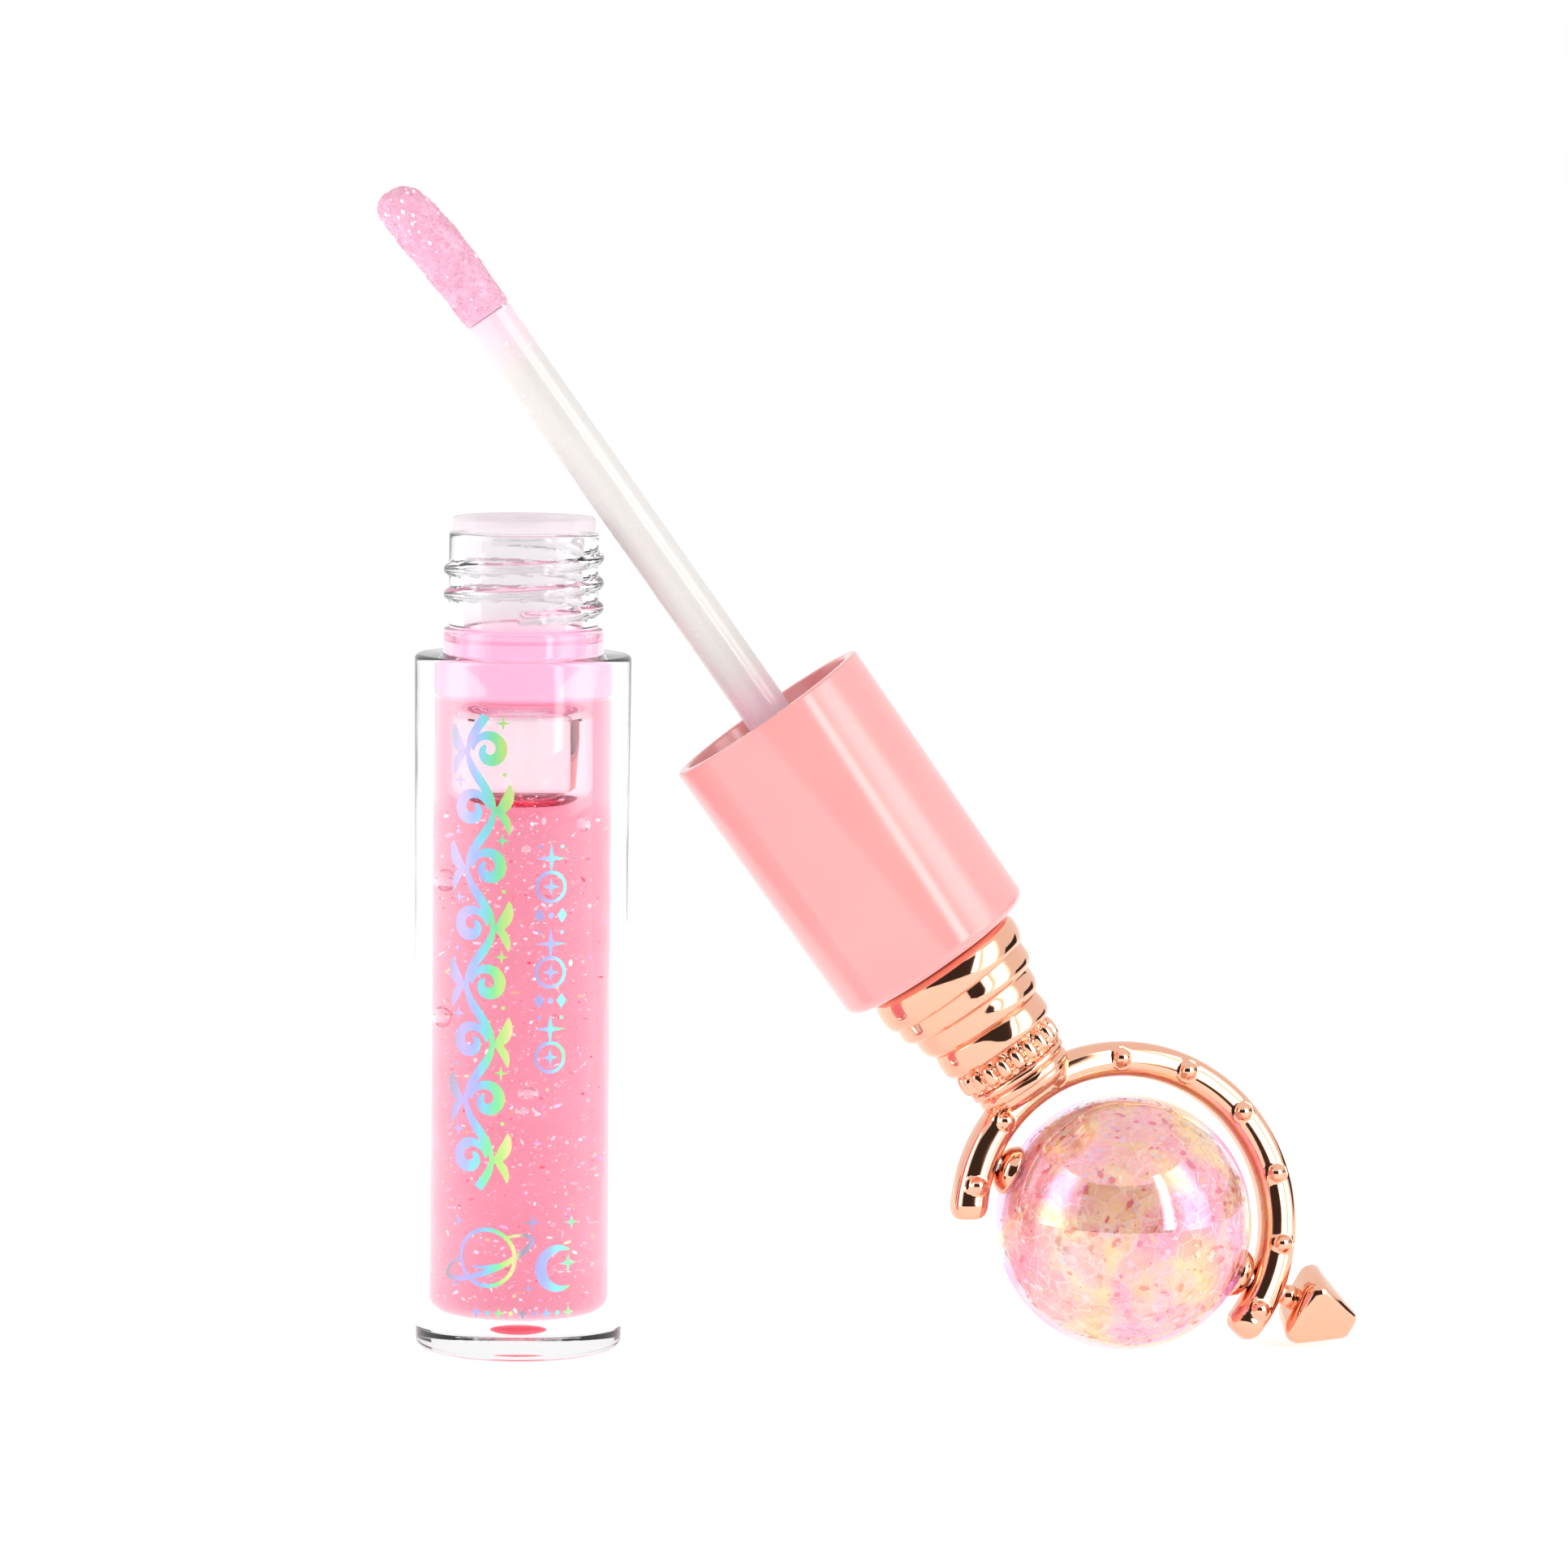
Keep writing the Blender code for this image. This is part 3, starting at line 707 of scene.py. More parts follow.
def crack_facets():
    """Flat crack faces inside the glass that catch the light whole."""
    made, tree, shader = surface("crack_facets", {"Roughness": 0.12})
    stops = [(0.0, "#FFF6F2"), (0.35, "#FFDCD2"), (0.6, "#F58F84"), (0.78, "#FFC2B6"),
             (0.9, "#FFE39A")]
    tree.links.new(ramp(tree, attribute(tree, "tone"), stops, "CONSTANT"),
                   shader.inputs["Base Color"])
    return made


# Stage -------------------------------------------------------------------------------------

def glow(name, rgb, strength, soft):
    """A plain light-emitting surface for the cards round the stage, with soft sides.

    soft is the share of the card's width that fades away at each side.
    """
    made, tree, out = bare(name)
    light = node(tree, "Emission", {"Color": opaque(rgb), "Strength": strength}).outputs[0]
    clear = node(tree, "BsdfTransparent").outputs[0]
    own = node(tree, "TexCoord").outputs["UV"]
    across = node(tree, "SeparateXYZ", {"Vector": own}).outputs["X"]
    away = maths(tree, "ABSOLUTE", maths(tree, "SUBTRACT", across, 0.5))
    share = spread(tree, away, 0.5 - soft, 0.5, 1.0, 0.0, interpolation_type="SMOOTHSTEP")
    both = node(tree, "MixShader", {0: share, 1: clear, 2: light})
    tree.links.new(both.outputs[0], out)
    return made


def card(name, left, right, low, high, finish, reach=CARD_DISTANCE):
    """A curved card round the object that only mirrors and clear pieces see.

    Its sides are azimuths in degrees from the camera, to the right; its edges are elevations.
    """
    def wall(across, up):
        turn = math.radians(left + (right - left) * (across + 1) / 2)
        rise = math.tan(math.radians(low + (high - low) * (up + 1) / 2))
        return (reach * math.sin(turn), -reach * math.cos(turn), reach * rise)

    piece = sheet(name, 16, 4, wall, closed=False)
    piece.data.materials.append(finish)
    for kind in ("camera", "diffuse", "shadow", "volume_scatter"):
        setattr(piece, "visible_" + kind, False)


def softbox(name, azimuth, low, high, width, strength, glint):
    """A tall light panel: a lamp that lights, and a card that shows in mirrors."""
    middle = math.radians((low + high) / 2)
    turn = math.radians(azimuth)
    aim = Vector((0.02, 0.0, 0.03))
    way = Vector((math.sin(turn) * math.cos(middle), -math.cos(turn) * math.cos(middle),
                  math.sin(middle)))
    fresh()
    bpy.ops.object.light_add(type="AREA", location=aim + way * LAMP_DISTANCE)
    lamp = bpy.context.object
    lamp.name = name
    lamp.rotation_euler = way.to_track_quat("Z", "Y").to_euler()
    lamp.data.shape = "RECTANGLE"
    lamp.data.size = 2 * LAMP_DISTANCE * math.tan(math.radians(width) / 2)
    lamp.data.size_y = 2 * LAMP_DISTANCE * math.tan(math.radians(high - low) / 2)
    lamp.data.energy = strength * math.pi * lamp.data.size * lamp.data.size_y
    for kind in ("camera", "glossy", "transmission"):
        setattr(lamp, "visible_" + kind, False)
    card(name + "_card", azimuth - width / 2, azimuth + width / 2, low, high,
         glow(name + "_glow", (1.0, 0.99, 0.97), glint, 0.4), GLINT_DISTANCE)


class LIPGLOSS_OT_stage(Operator):
    """Add the pale floor, the soft lights, the dark side of the studio and the camera"""
    bl_idname = "lipgloss.stage"
    bl_label = "Stage"

    def execute(self, context):
        scene = context.scene
        scene.view_settings.view_transform = "Standard"
        fresh()
        bpy.ops.mesh.primitive_plane_add(size=60.0, location=(0, 0, -0.02 * MM))
        floor = context.object
        floor.name = "floor"
        finish, _, _ = surface("backlit_white_acrylic", {
            "Base Color": (0.9, 0.9, 0.9, 1.0), "Roughness": 0.9, "Specular IOR Level": 0.1,
            "Emission Color": (1.0, 1.0, 1.0, 1.0), "Emission Strength": 0.6})
        floor.data.materials.append(finish)
        self.sky(scene)
        unlit = glow("unlit_room", (1.0, 0.8, 0.7), 0.05, 0.04)
        card("dark_front", -46.0, 44.0, 0.0, 42.0, unlit)
        card("dark_right", 100.0, 138.0, 0.0, 13.0, unlit)
        card("dark_left", -118.0, -100.0, 0.0, 13.0, unlit)
        softbox("softbox_left", -70.0, 0.0, 44.0, 41.0, 1.6, 4.0)
        softbox("softbox_right", 68.0, 0.0, 47.0, 44.0, 1.6, 4.0)
        softbox("strip_right", 41.0, 2.0, 48.0, 15.0, 0.6, 6.5)
        self.camera(scene)
        return {"FINISHED"}

    def sky(self, scene):
        """White all round, weaker where it only fills the shadows."""
        world = bpy.data.worlds.new("white_studio")
        scene.world = world
        world.use_nodes = True
        tree = world.node_tree
        diffuse = node(tree, "LightPath").outputs["Is Diffuse Ray"]
        back = tree.nodes["Background"]
        back.inputs["Color"].default_value = (1, 1, 1, 1)
        tree.links.new(spread(tree, diffuse, 0.0, 1.0, 1.0, 0.55), back.inputs["Strength"])

    def camera(self, scene):
        """A long lens half a metre away, looking a little down."""
        made = bpy.data.cameras.new("camera")
        made.lens = FOCAL_LENGTH
        made.sensor_width = 36.0
        made.clip_start = 0.05
        made.clip_end = 100.0
        camera = bpy.data.objects.new("camera", made)
        scene.collection.objects.link(camera)
        look = (Matrix.Rotation(math.radians(CAMERA_PITCH), 4, "X")
                @ Matrix.Rotation(math.radians(CAMERA_ROLL), 4, "Y")
                @ Matrix.Rotation(math.radians(90.0), 4, "X"))
        camera.matrix_world = Matrix.Translation(CAMERA_PLACE) @ look
        scene.camera = camera


# Bottle ------------------------------------------------------------------------------------

def nearest_turn(turns, around, total):
    """The turn of a thread that passes nearest to a spot; around is the spot's own part turn."""
    nearest = round(turns - around) + around
    return min(max(nearest, around), around + math.floor(total - around))


class LIPGLOSS_OT_bottle(Operator):
    """Turn the clear bottle with its threaded neck"""
    bl_idname = "lipgloss.bottle"
    bl_label = "Bottle"

    def execute(self, context):
        s = context.scene.lipgloss_bottle
        base, shoulder_radius, shoulder = (v / MM for v in (s.base_radius, s.shoulder_radius,
                                                            s.shoulder))
        floor, bore, neck, bead = (v / MM for v in (s.floor, s.bore, s.neck, s.bead))
        low, high = (p.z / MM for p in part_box("bottle"))
        bead_top = shoulder + 2.2
        punt = 0.25                             # hollow of the underside
        outline = [(0, low + punt), (5.6, low + punt - 0.05), (7.3, low), (base - 0.55, low)]
        outline += arc((base - 0.55, low + 0.55), 0.55, -75, 0)
        outline += arc((shoulder_radius - 0.45, shoulder - 0.45), 0.45, 0, 90)
        outline += arc((bead + 0.2, shoulder + 0.2), 0.2, 270, 180, 3)
        outline += arc((bead - 0.35, bead_top - 0.35), 0.35, 0, 80, 5)
        outline += [(neck + 0.08, bead_top + 0.02), (neck, bead_top + 0.12)]
        rings = 60
        foot = bead_top + 0.5
        outline += [(neck, foot + (high - 0.5 - foot) * i / rings) for i in range(rings + 1)]
        outline += arc((neck - 0.25, high - 0.25), 0.25, 0, 90, 4)
        outline += arc((bore + 0.25, high - 0.25), 0.25, 90, 180, 4)
        wet_top = bead_top + 0.1
        outline += [(bore, wet_top)]
        outline += arc((bore - CHAMBER_CORNER, floor + CHAMBER_CORNER), CHAMBER_CORNER, 0, -85, 8)
        outline += [(0, floor - 0.1)]
        bottle = turned("bottle_wall", outline, 144)
        reshape(bottle, lambda co: self.threaded(co, s))
        bottle.data.materials.append(clear_plastic())
        bottle.data.materials.append(wetted_wall())
        for face in bottle.data.polygons:
            middle = face.center
            inside = math.hypot(middle.x, middle.y) < s.bore + 0.01 * MM
            wet = (floor - 0.2) * MM < middle.z < wet_top * MM
            face.material_index = 1 if inside and wet else 0
        finished(bottle, "bottle", None, ["bottle"])
        return {"FINISHED"}

    def threaded(self, co, s):
        """Raise the neck into a rounded right-handed thread that fades at both ends."""
        radius = math.hypot(co.x, co.y)
        if abs(radius - s.neck) > 0.01 * MM or co.z < s.thread_start - 0.75 * MM:
            return co
        around = (math.atan2(co.y, co.x) / (2 * math.pi) + 0.25) % 1.0
        turns = (co.z - s.thread_start) / s.pitch
        nearest = nearest_turn(turns, around, s.thread_turns)
        half_width, crest = 0.52 * MM, 0.45 * MM
        across = (turns - nearest) * s.pitch / half_width
        if abs(across) >= 1:
            return co
        ends = min(nearest, s.thread_turns - nearest) * 9
        rise = crest * (1 - across ** 2) ** 0.6 * min(1.0, max(0.0, ends)) ** 0.5
        grown = (radius + rise) / radius
        return Vector((co.x * grown, co.y * grown, co.z))


class LIPGLOSS_OT_gloss(Operator):
    """Fill the chamber with gloss, its air pocket, its bubbles and its glitter"""
    bl_idname = "lipgloss.gloss"
    bl_label = "Gloss"

    def execute(self, context):
        s = context.scene.lipgloss_bottle
        tints = context.scene.lipgloss_colours
        bore, floor, level = s.bore / MM - 0.03, s.floor / MM + 0.02, s.level / MM
        under_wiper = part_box("wiper")[0].z / MM - 0.12
        outline = [(0, floor - 0.1)]
        outline += arc((bore - CHAMBER_CORNER, floor + CHAMBER_CORNER), CHAMBER_CORNER, -85, 0, 8)
        outline += [(bore, under_wiper), (0, under_wiper)]
        column = turned("gloss_column", outline, 96)
        pocket = self.air_pocket(level, under_wiper - 0.3, bore - 1.0)
        for piece, mark in ((column, 0.0), (pocket, 1.0)):
            marked(piece, "pocket", [mark] * len(piece.data.vertices))
        column = joined("gloss_column", column, pocket)
        finished(column, "bottle", gloss_gel(tints.gel, level), ["gloss_fill"])
        self.bubbles(s)
        self.seep(floor)
        self.glitter(s, floor, level)
        return {"FINISHED"}

    def air_pocket(self, low, high, radius):
        """The air over the gloss: a round-cornered drum, its faces towards the air."""
        round_low, round_high = 1.7, 1.3
        outline = [(0, low + 0.25), (radius * 0.35, low + 0.12)]
        outline += arc((radius - round_low, low + round_low), round_low, -90, 0, 10)
        outline += arc((radius - round_high, high - round_high), round_high, 0, 90, 10)
        outline += [(0, high)]
        pocket = turned("air_pocket", outline, 96)
        faced(pocket, turn_inwards=True)
        return pocket

    def seep(self, floor):
        """A lens of gloss in the mould mark of the clear floor."""
        middle, reach, half = floor - 1.15, 1.6, 0.42
        lens = [(reach * math.sin(a), middle - half * math.cos(a))
                for a in (0.5, 0.9, 1.3, 1.57, 1.9, 2.3, 2.7)]
        drop = turned("floor_lens", [(0, middle - half)] + lens + [(0, middle + half)], 48)
        finished(drop, "bottle", deep_gloss(), smooth=180.0)

    def behind_wall(self, seen, radius, s):
        """Where a thing at that distance from the axis sits, to be seen at that offset.

        The wall is a lens: a level ray meets the outside at the seen offset and bends inwards.
        """
        outside = s.shoulder_radius
        offset = seen / PLASTIC_IOR
        bend = math.asin(seen / outside) - math.asin(seen / PLASTIC_IOR / outside)
        ahead = math.sqrt(max(0.0, radius ** 2 - offset ** 2))
        return (offset * math.cos(bend) + ahead * math.sin(bend),
                -(ahead * math.cos(bend) - offset * math.sin(bend)))

    def bubbles(self, s):
        """Large bubbles hang at the front of the wall, fine ones all through the gloss."""
        fresh()
        bpy.ops.mesh.primitive_ico_sphere_add(subdivisions=3, radius=1.0)
        bubble = context_piece("gloss_bubbles")
        spots = []
        # (offset seen through the wall, height, half width, half height)
        for seen, height, wide, tall in ((-6.3, 39.0, 0.7, 0.95), (-6.5, 27.6, 0.6, 0.9),
                                         (0.9, 22.0, 0.75, 0.6), (0.4, 20.5, 0.5, 0.42),
                                         (5.2, 44.0, 0.5, 0.6), (0.6, 42.2, 0.34, 0.42)):
            reach = s.bore - (wide + 0.12) * MM
            x, y = self.behind_wall(seen * MM, reach, s)
            size_of = Matrix.Diagonal((wide * MM, wide * MM, tall * MM, 1.0))
            spots.append(Matrix.Translation((x, y, height * MM)) @ size_of)
        draw = random.Random(4)
        while len(spots) < BIG_AND_FINE_BUBBLES:
            turn, reach = draw.uniform(0, 2 * math.pi), draw.uniform(0.3, 0.9) * s.bore
            height = draw.uniform(5.0, 43.5) * MM
            fine = draw.uniform(0.04, 0.13) * MM
            place = Matrix.Translation((reach * math.cos(turn), reach * math.sin(turn), height))
            spots.append(place @ Matrix.Scale(fine, 4))
        repeated(bubble, spots)
        finished(bubble, "bottle", trapped_air_painted_glow(), smooth=180.0)

    def glitter(self, s, floor, level):
        """Hexagonal flakes and a few long slivers, turned every way."""
        fresh()
        bpy.ops.mesh.primitive_circle_add(vertices=6, radius=1.0, fill_type="NGON")
        flakes = context_piece("gloss_glitter")
        draw = random.Random(11)
        spots, tones = [], []
        while len(spots) < GLITTER_FLAKES:
            x, y = (draw.uniform(-1, 1) * s.bore for _ in "xy")
            if math.hypot(x, y) > s.bore - 0.25 * MM:
                continue
            height = draw.uniform(floor + 0.6, level - 0.5) * MM
            turn = Matrix(draw_rotation(draw)).to_4x4()
            across = draw.choice((0.06, 0.07, 0.09, 0.09, 0.12, 0.15)) * MM
            longer = draw.choice((1.0, 1.0, 1.0, 1.4, 2.2))
            flake = Matrix.Diagonal((across * longer, across, across, 1.0))
            spots.append(Matrix.Translation((x, y, height)) @ turn @ flake)
            tones.append(draw.random())
        repeated(flakes, spots)
        toned(flakes, tones)
        finished(flakes, "bottle", glitter_flakes())


class LIPGLOSS_OT_wiper(Operator):
    """Turn the milky wiper that sits in the neck"""
    bl_idname = "lipgloss.wiper"
    bl_label = "Wiper"

    def execute(self, context):
        s = context.scene.lipgloss_bottle
        tints = context.scene.lipgloss_colours
        low, high = (p.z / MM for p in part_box("wiper"))
        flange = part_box("wiper")[1].x / MM
        outer, wall_top = s.bore / MM - 0.06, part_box("bottle")[1].z / MM + 0.12
        outline = arc((4.4, high - 0.25), 0.25, 180, 90, 4)
        outline += arc((flange - 0.35, high - 0.35), 0.35, 90, 0, 5)
        outline += arc((flange - 0.15, wall_top + 0.15), 0.15, 0, -90, 3)
        outline += [(outer + 0.1, wall_top), (outer, wall_top - 0.1)]
        outline += arc((outer - 0.3, low + 0.3), 0.3, 0, -90, 5)
        outline += arc((2.5, low + 0.45), 0.45, 270, 180, 4)
        outline += [(2.05, low + 0.8), (2.3, low + 1.25), (3.5, low + 2.8), (3.5, high - 2.2),
                    (3.9, high - 1.4), (4.15, high - 0.8)]
        wiper = turned("wiper_plug", outline, 96)
        rose = linear("#FFA6CF")
        finish = milky_polyethylene_painted_glow(tints.wiper, rose, low + 4.0, low + 8.2, wall_top)
        finished(wiper, "bottle", finish, ["wiper"])
        return {"FINISHED"}


# Foil ornament -----------------------------------------------------------------------------

def stroke(centre, width, steps=40):
    """A flat ribbon: centre(t) gives its middle line in millimetres and width(t) its breadth."""
    def rule(t, side):
        t = (t + 1) / 2
        here = Vector(centre(t))
        ahead = Vector(centre(t + 0.002)) - Vector(centre(t - 0.002))
        across = Vector((-ahead.y, ahead.x)).normalized()
        spot = here + across * side * width(t) / 2
        return (spot.x, spot.y, 0.0)
    return sheet("stroke", steps, 2, rule, closed=False)


def tapered(breadth, fine=0.12):
    """A breadth that swells between two fine ends."""
    return lambda t: fine + (breadth - fine) * max(0.0, math.sin(math.pi * t)) ** 0.8


def curl(x, y, radius, start, turns, shrink=0.25):
    """A spiral round (x, y) that winds in from radius to a share of it."""
    def line(t):
        reach = radius * (1 - (1 - shrink) * t)
        angle = math.radians(start) + 2 * math.pi * turns * t
        return (x + reach * math.cos(angle), y + reach * math.sin(angle))
    return line


def bow(a, b, bulge):
    """A bent line from a to b that stands off its chord by bulge."""
    chord = Vector(b) - Vector(a)
    off = Vector((-chord.y, chord.x)).normalized() * bulge

    def line(t):
        return tuple(Vector(a) + chord * t + off * 4 * t * (1 - t))
    return line


def star(x, y, reach, waist=0.28, points=4, tilt=90.0):
    """A filled star with straight-sided points."""
    fresh()
    bpy.ops.mesh.primitive_circle_add(vertices=2 * points, radius=1.0, fill_type="NGON")
    piece = context_piece("star")
    for i, point in enumerate(piece.data.vertices):
        far = reach * (1.0 if i % 2 == 0 else waist)
        angle = math.pi * i / points + math.radians(tilt)
        point.co = Vector((x + far * math.cos(angle), y + far * math.sin(angle), 0.0))
    return piece


def dot(x, y, radius):
    """A filled circle."""
    fresh()
    bpy.ops.mesh.primitive_circle_add(vertices=20, radius=radius, fill_type="NGON",
                                      location=(x, y, 0))
    return context_piece("dot")


class LIPGLOSS_OT_foil(Operator):
    """Stamp the foil ornament on the front of the bottle: a starry scroll and a ringed planet"""
    bl_idname = "lipgloss.foil"
    bl_label = "Foil ornament"

    def execute(self, context):
        s = context.scene.lipgloss_bottle
        pieces = self.scroll() + self.star_column() + self.planet()
        foil = joined("foil_ornament", *pieces)
        faced(foil)
        applied(foil, "SOLIDIFY", thickness=0.03, offset=0.0)
        slope = (s.shoulder_radius - s.base_radius) / s.shoulder

        def wrapped(co):
            radius = s.base_radius + slope * co.y * MM + (0.025 + co.z) * MM
            turn = co.x * MM / radius
            return Vector((radius * math.sin(turn), -radius * math.cos(turn), co.y * MM))

        reshape(foil, wrapped)
        faced(foil)
        finished(foil, "bottle", holographic_foil())
        return {"FINISHED"}

    def scroll(self):
        """A stem that waves up the left of the front, with a curl and a leaf at each bend."""
        low, high, middle, wave, swing = 14.5, 53.5, -3.1, 9.6, 1.15

        def stem(t):
            height = low + (high - low) * t
            return (middle + swing * math.sin(2 * math.pi * (height - low) / wave), height)

        pieces = [stroke(stem, lambda t: 0.36 + 0.42 * abs(math.cos(
            2 * math.pi * (high - low) * t / wave)), 160)]
        bends = int((high - low) / (wave / 2))
        for i in range(bends):
            side = 1 if i % 2 == 0 else -1
            height = low + wave / 4 + i * wave / 2
            x = middle + side * swing
            pieces.append(stroke(curl(middle - side * 0.75, height + 0.15, 1.45,
                                      180 if side < 0 else 0, side * 1.15, 0.3),
                                 tapered(1.0, 0.24), 48))
            pieces.append(stroke(bow((x, height - 0.3), (x + side * 1.35, height + 2.2),
                                     side * -0.45), tapered(1.0), 20))
            pieces.append(stroke(bow((x, height + 0.2), (x + side * 1.3, height - 1.9),
                                     side * 0.35), tapered(0.7), 20))
            pieces.append(star(middle - side * 1.9, height + 2.4, 0.62))
            pieces.append(dot(middle + side * 2.05, height + 3.0, 0.17))
        return pieces

    def star_column(self):
        """A fine column of rings, stars and diamonds up the right of the front."""
        pieces = []
        middle, low, step = 2.85, 25.4, 2.35
        for i in range(8):
            height = low + i * step
            if i % 3 == 0:
                pieces.append(stroke(curl(middle, height, 1.2, 0, 1.0, 1.0),
                                     lambda t: 0.28, 48))
                pieces.append(star(middle, height, 0.75, 0.3))
            elif i % 3 == 1:
                pieces.append(star(middle, height, 1.35, 0.2))
                pieces += [dot(middle + side, height + 0.95, 0.16) for side in (-0.95, 0.95)]
            else:
                pieces += [star(middle + side, height, 0.62, 0.7, 2) for side in (-0.95, 0.95)]
                pieces.append(dot(middle, height, 0.24))
        return pieces

    def planet(self):
        """A ringed planet with a crescent moon and stars over a row of small beads."""
        x, y, radius = -2.3, 8.7, 2.35
        pieces = [stroke(curl(x, y, radius, 0, 1.0, 1.0), lambda t: 0.34, 64)]
        tilt = math.radians(24)

        def ring(t):
            angle = math.radians(125 + 290 * t)
            a, b = 4.1 * math.cos(angle), 1.1 * math.sin(angle)
            return (x + a * math.cos(tilt) - b * math.sin(tilt),
                    y + a * math.sin(tilt) + b * math.cos(tilt))

        pieces.append(stroke(ring, lambda t: 0.2 + 0.28 * math.sin(math.pi * t), 80))
        for drop, reach in ((0.75, 1.35), (1.2, 0.8)):
            pieces.append(stroke(bow((x - reach, y - drop), (x + reach * 0.7, y - drop + 0.3),
                                     -0.2), tapered(0.3, 0.08), 20))
        moon = curl(3.9, 7.8, 1.7, 60, 2 / 3, 1.0)
        pieces.append(stroke(moon, tapered(0.96, 0.06), 48))
        for place in ((4.6, 8.2, 0.8), (4.9, 11.6, 0.6), (1.5, 11.7, 0.75), (-4.9, 11.6, 0.55),
                      (1.2, 6.2, 0.45), (-5.2, 6.3, 0.4)):
            pieces.append(star(*place))
        for i in range(9):
            across = -3.2 + i * 0.98
            pieces.append(dot(across, 4.1, 0.2) if i % 2 else star(across, 4.1, 0.5, 0.34))
        return pieces


# Closure -----------------------------------------------------------------------------------

class LIPGLOSS_OT_cap(Operator):
    """Turn the salmon cap and the white liner inside it"""
    bl_idname = "lipgloss.cap"
    bl_label = "Cap"

    def execute(self, context):
        s = context.scene.lipgloss_closure
        tints = context.scene.lipgloss_colours
        end, mouth, radius, wall = (v / MM for v in (s.cap_end, s.cap_mouth, s.cap_radius,
                                                     s.cap_wall))
        narrow = radius - 0.14
        spigot = 2.6
        edge, lip = 0.9, 0.22
        inner_end = end + 1.3
        outline = [(spigot, end), (narrow - edge, end)]
        outline += arc((narrow - edge, end + edge), edge, -85, 0, 8)
        outline += arc((radius - lip, mouth - lip), lip, 0, 90, 4)
        outline += arc((radius - wall + lip, mouth - lip), lip, 90, 180, 4)
        outline += [(narrow - wall, inner_end), (spigot, inner_end)]
        shell = turned("cap_sleeve", outline, 128)
        place = closure_frame()
        finished(shell, "closure", salmon_shell(tints.shell), ["cap_shell"],
                 place, smooth=40.0)
        self.liner(inner_end, narrow - wall, tints, place)
        return {"FINISHED"}

    def liner(self, inner_end, room, tints, place):
        """The threaded cup that grips the bottle's neck and holds the wand."""
        outer, bore, seal, top = room - 0.1, 7.05, SEAL_HEIGHT, 49.4
        web = seal - 1.5
        bottom = inner_end + 0.3
        socket = 3.4
        outline = [(0, bottom), (5.0, bottom), (5.0, web - 3.0), (outer, web - 1.5)]
        outline += arc((outer - 0.2, top - 0.2), 0.2, 0, 90, 3)
        outline += arc((bore + 0.2, top - 0.2), 0.2, 90, 180, 3)
        rings = 44
        outline += [(bore, top - 0.4 - (top - 0.4 - seal - 0.6) * i / rings)
                    for i in range(rings + 1)]
        outline += [(bore, web), (socket, web), (socket, bottom + 1.6), (0, bottom + 1.6)]
        liner = turned("cap_liner", outline, 96)
        start, turns = seal + 2.4, 2.0
        half_width, crest = 0.5, 0.3

        def threaded(co):
            radius = math.hypot(co.x, co.y) / MM
            height = co.z / MM
            if abs(radius - bore) > 0.01 or not seal + 0.6 < height < top - 0.3:
                return co
            around = math.atan2(co.y, co.x) / (2 * math.pi) % 1.0
            nearest = nearest_turn((height - start) / LINER_PITCH, around, turns)
            across = (height - start - nearest * LINER_PITCH) / half_width
            if abs(across) >= 1:
                return co
            shrunk = 1 - crest * (1 - across ** 2) ** 0.6 / radius
            return Vector((co.x * shrunk, co.y * shrunk, co.z))

        reshape(liner, threaded)
        finished(liner, "closure", moulded_polypropylene(tints.liner), ["inner_cap"],
                 place)


class LIPGLOSS_OT_wand(Operator):
    """Turn the wand's rod with the flange that seals it in the cap"""
    bl_idname = "lipgloss.wand"
    bl_label = "Wand"

    def execute(self, context):
        s = context.scene.lipgloss_closure
        tints = context.scene.lipgloss_colours
        rod, start = s.rod_radius / MM, s.flock_start / MM
        seal, plug, flange = SEAL_HEIGHT, 3.3, 6.1
        foot = s.cap_end / MM + 3.8
        outline = [(0, foot), (plug - 0.4, foot), (plug, foot + 0.6), (plug, seal - 1.2),
                   (flange - 0.1, seal - 1.2), (flange, seal - 1.1), (flange, seal - 0.1),
                   (flange - 0.1, seal)]
        outline += arc((rod + 0.7, seal + 0.7), 0.7, 270, 180, 6)
        outline += [(rod, seal + (start - seal) * i / 24) for i in range(2, 25)]
        outline += [(rod - 0.15, start + 0.12), (1.3, start + 0.15), (1.1, start + 8.0),
                    (0, start + 8.3)]
        rod_piece = turned("wand_rod", outline, 72)
        marked(rod_piece, "along", [point.co.z / MM for point in rod_piece.data.vertices])
        finish = wetted_rod(tints.rod, linear("#FFDDE9"), s.cap_mouth / MM, start)
        finished(rod_piece, "closure", finish, ["wand_stem"], closure_frame())
        return {"FINISHED"}


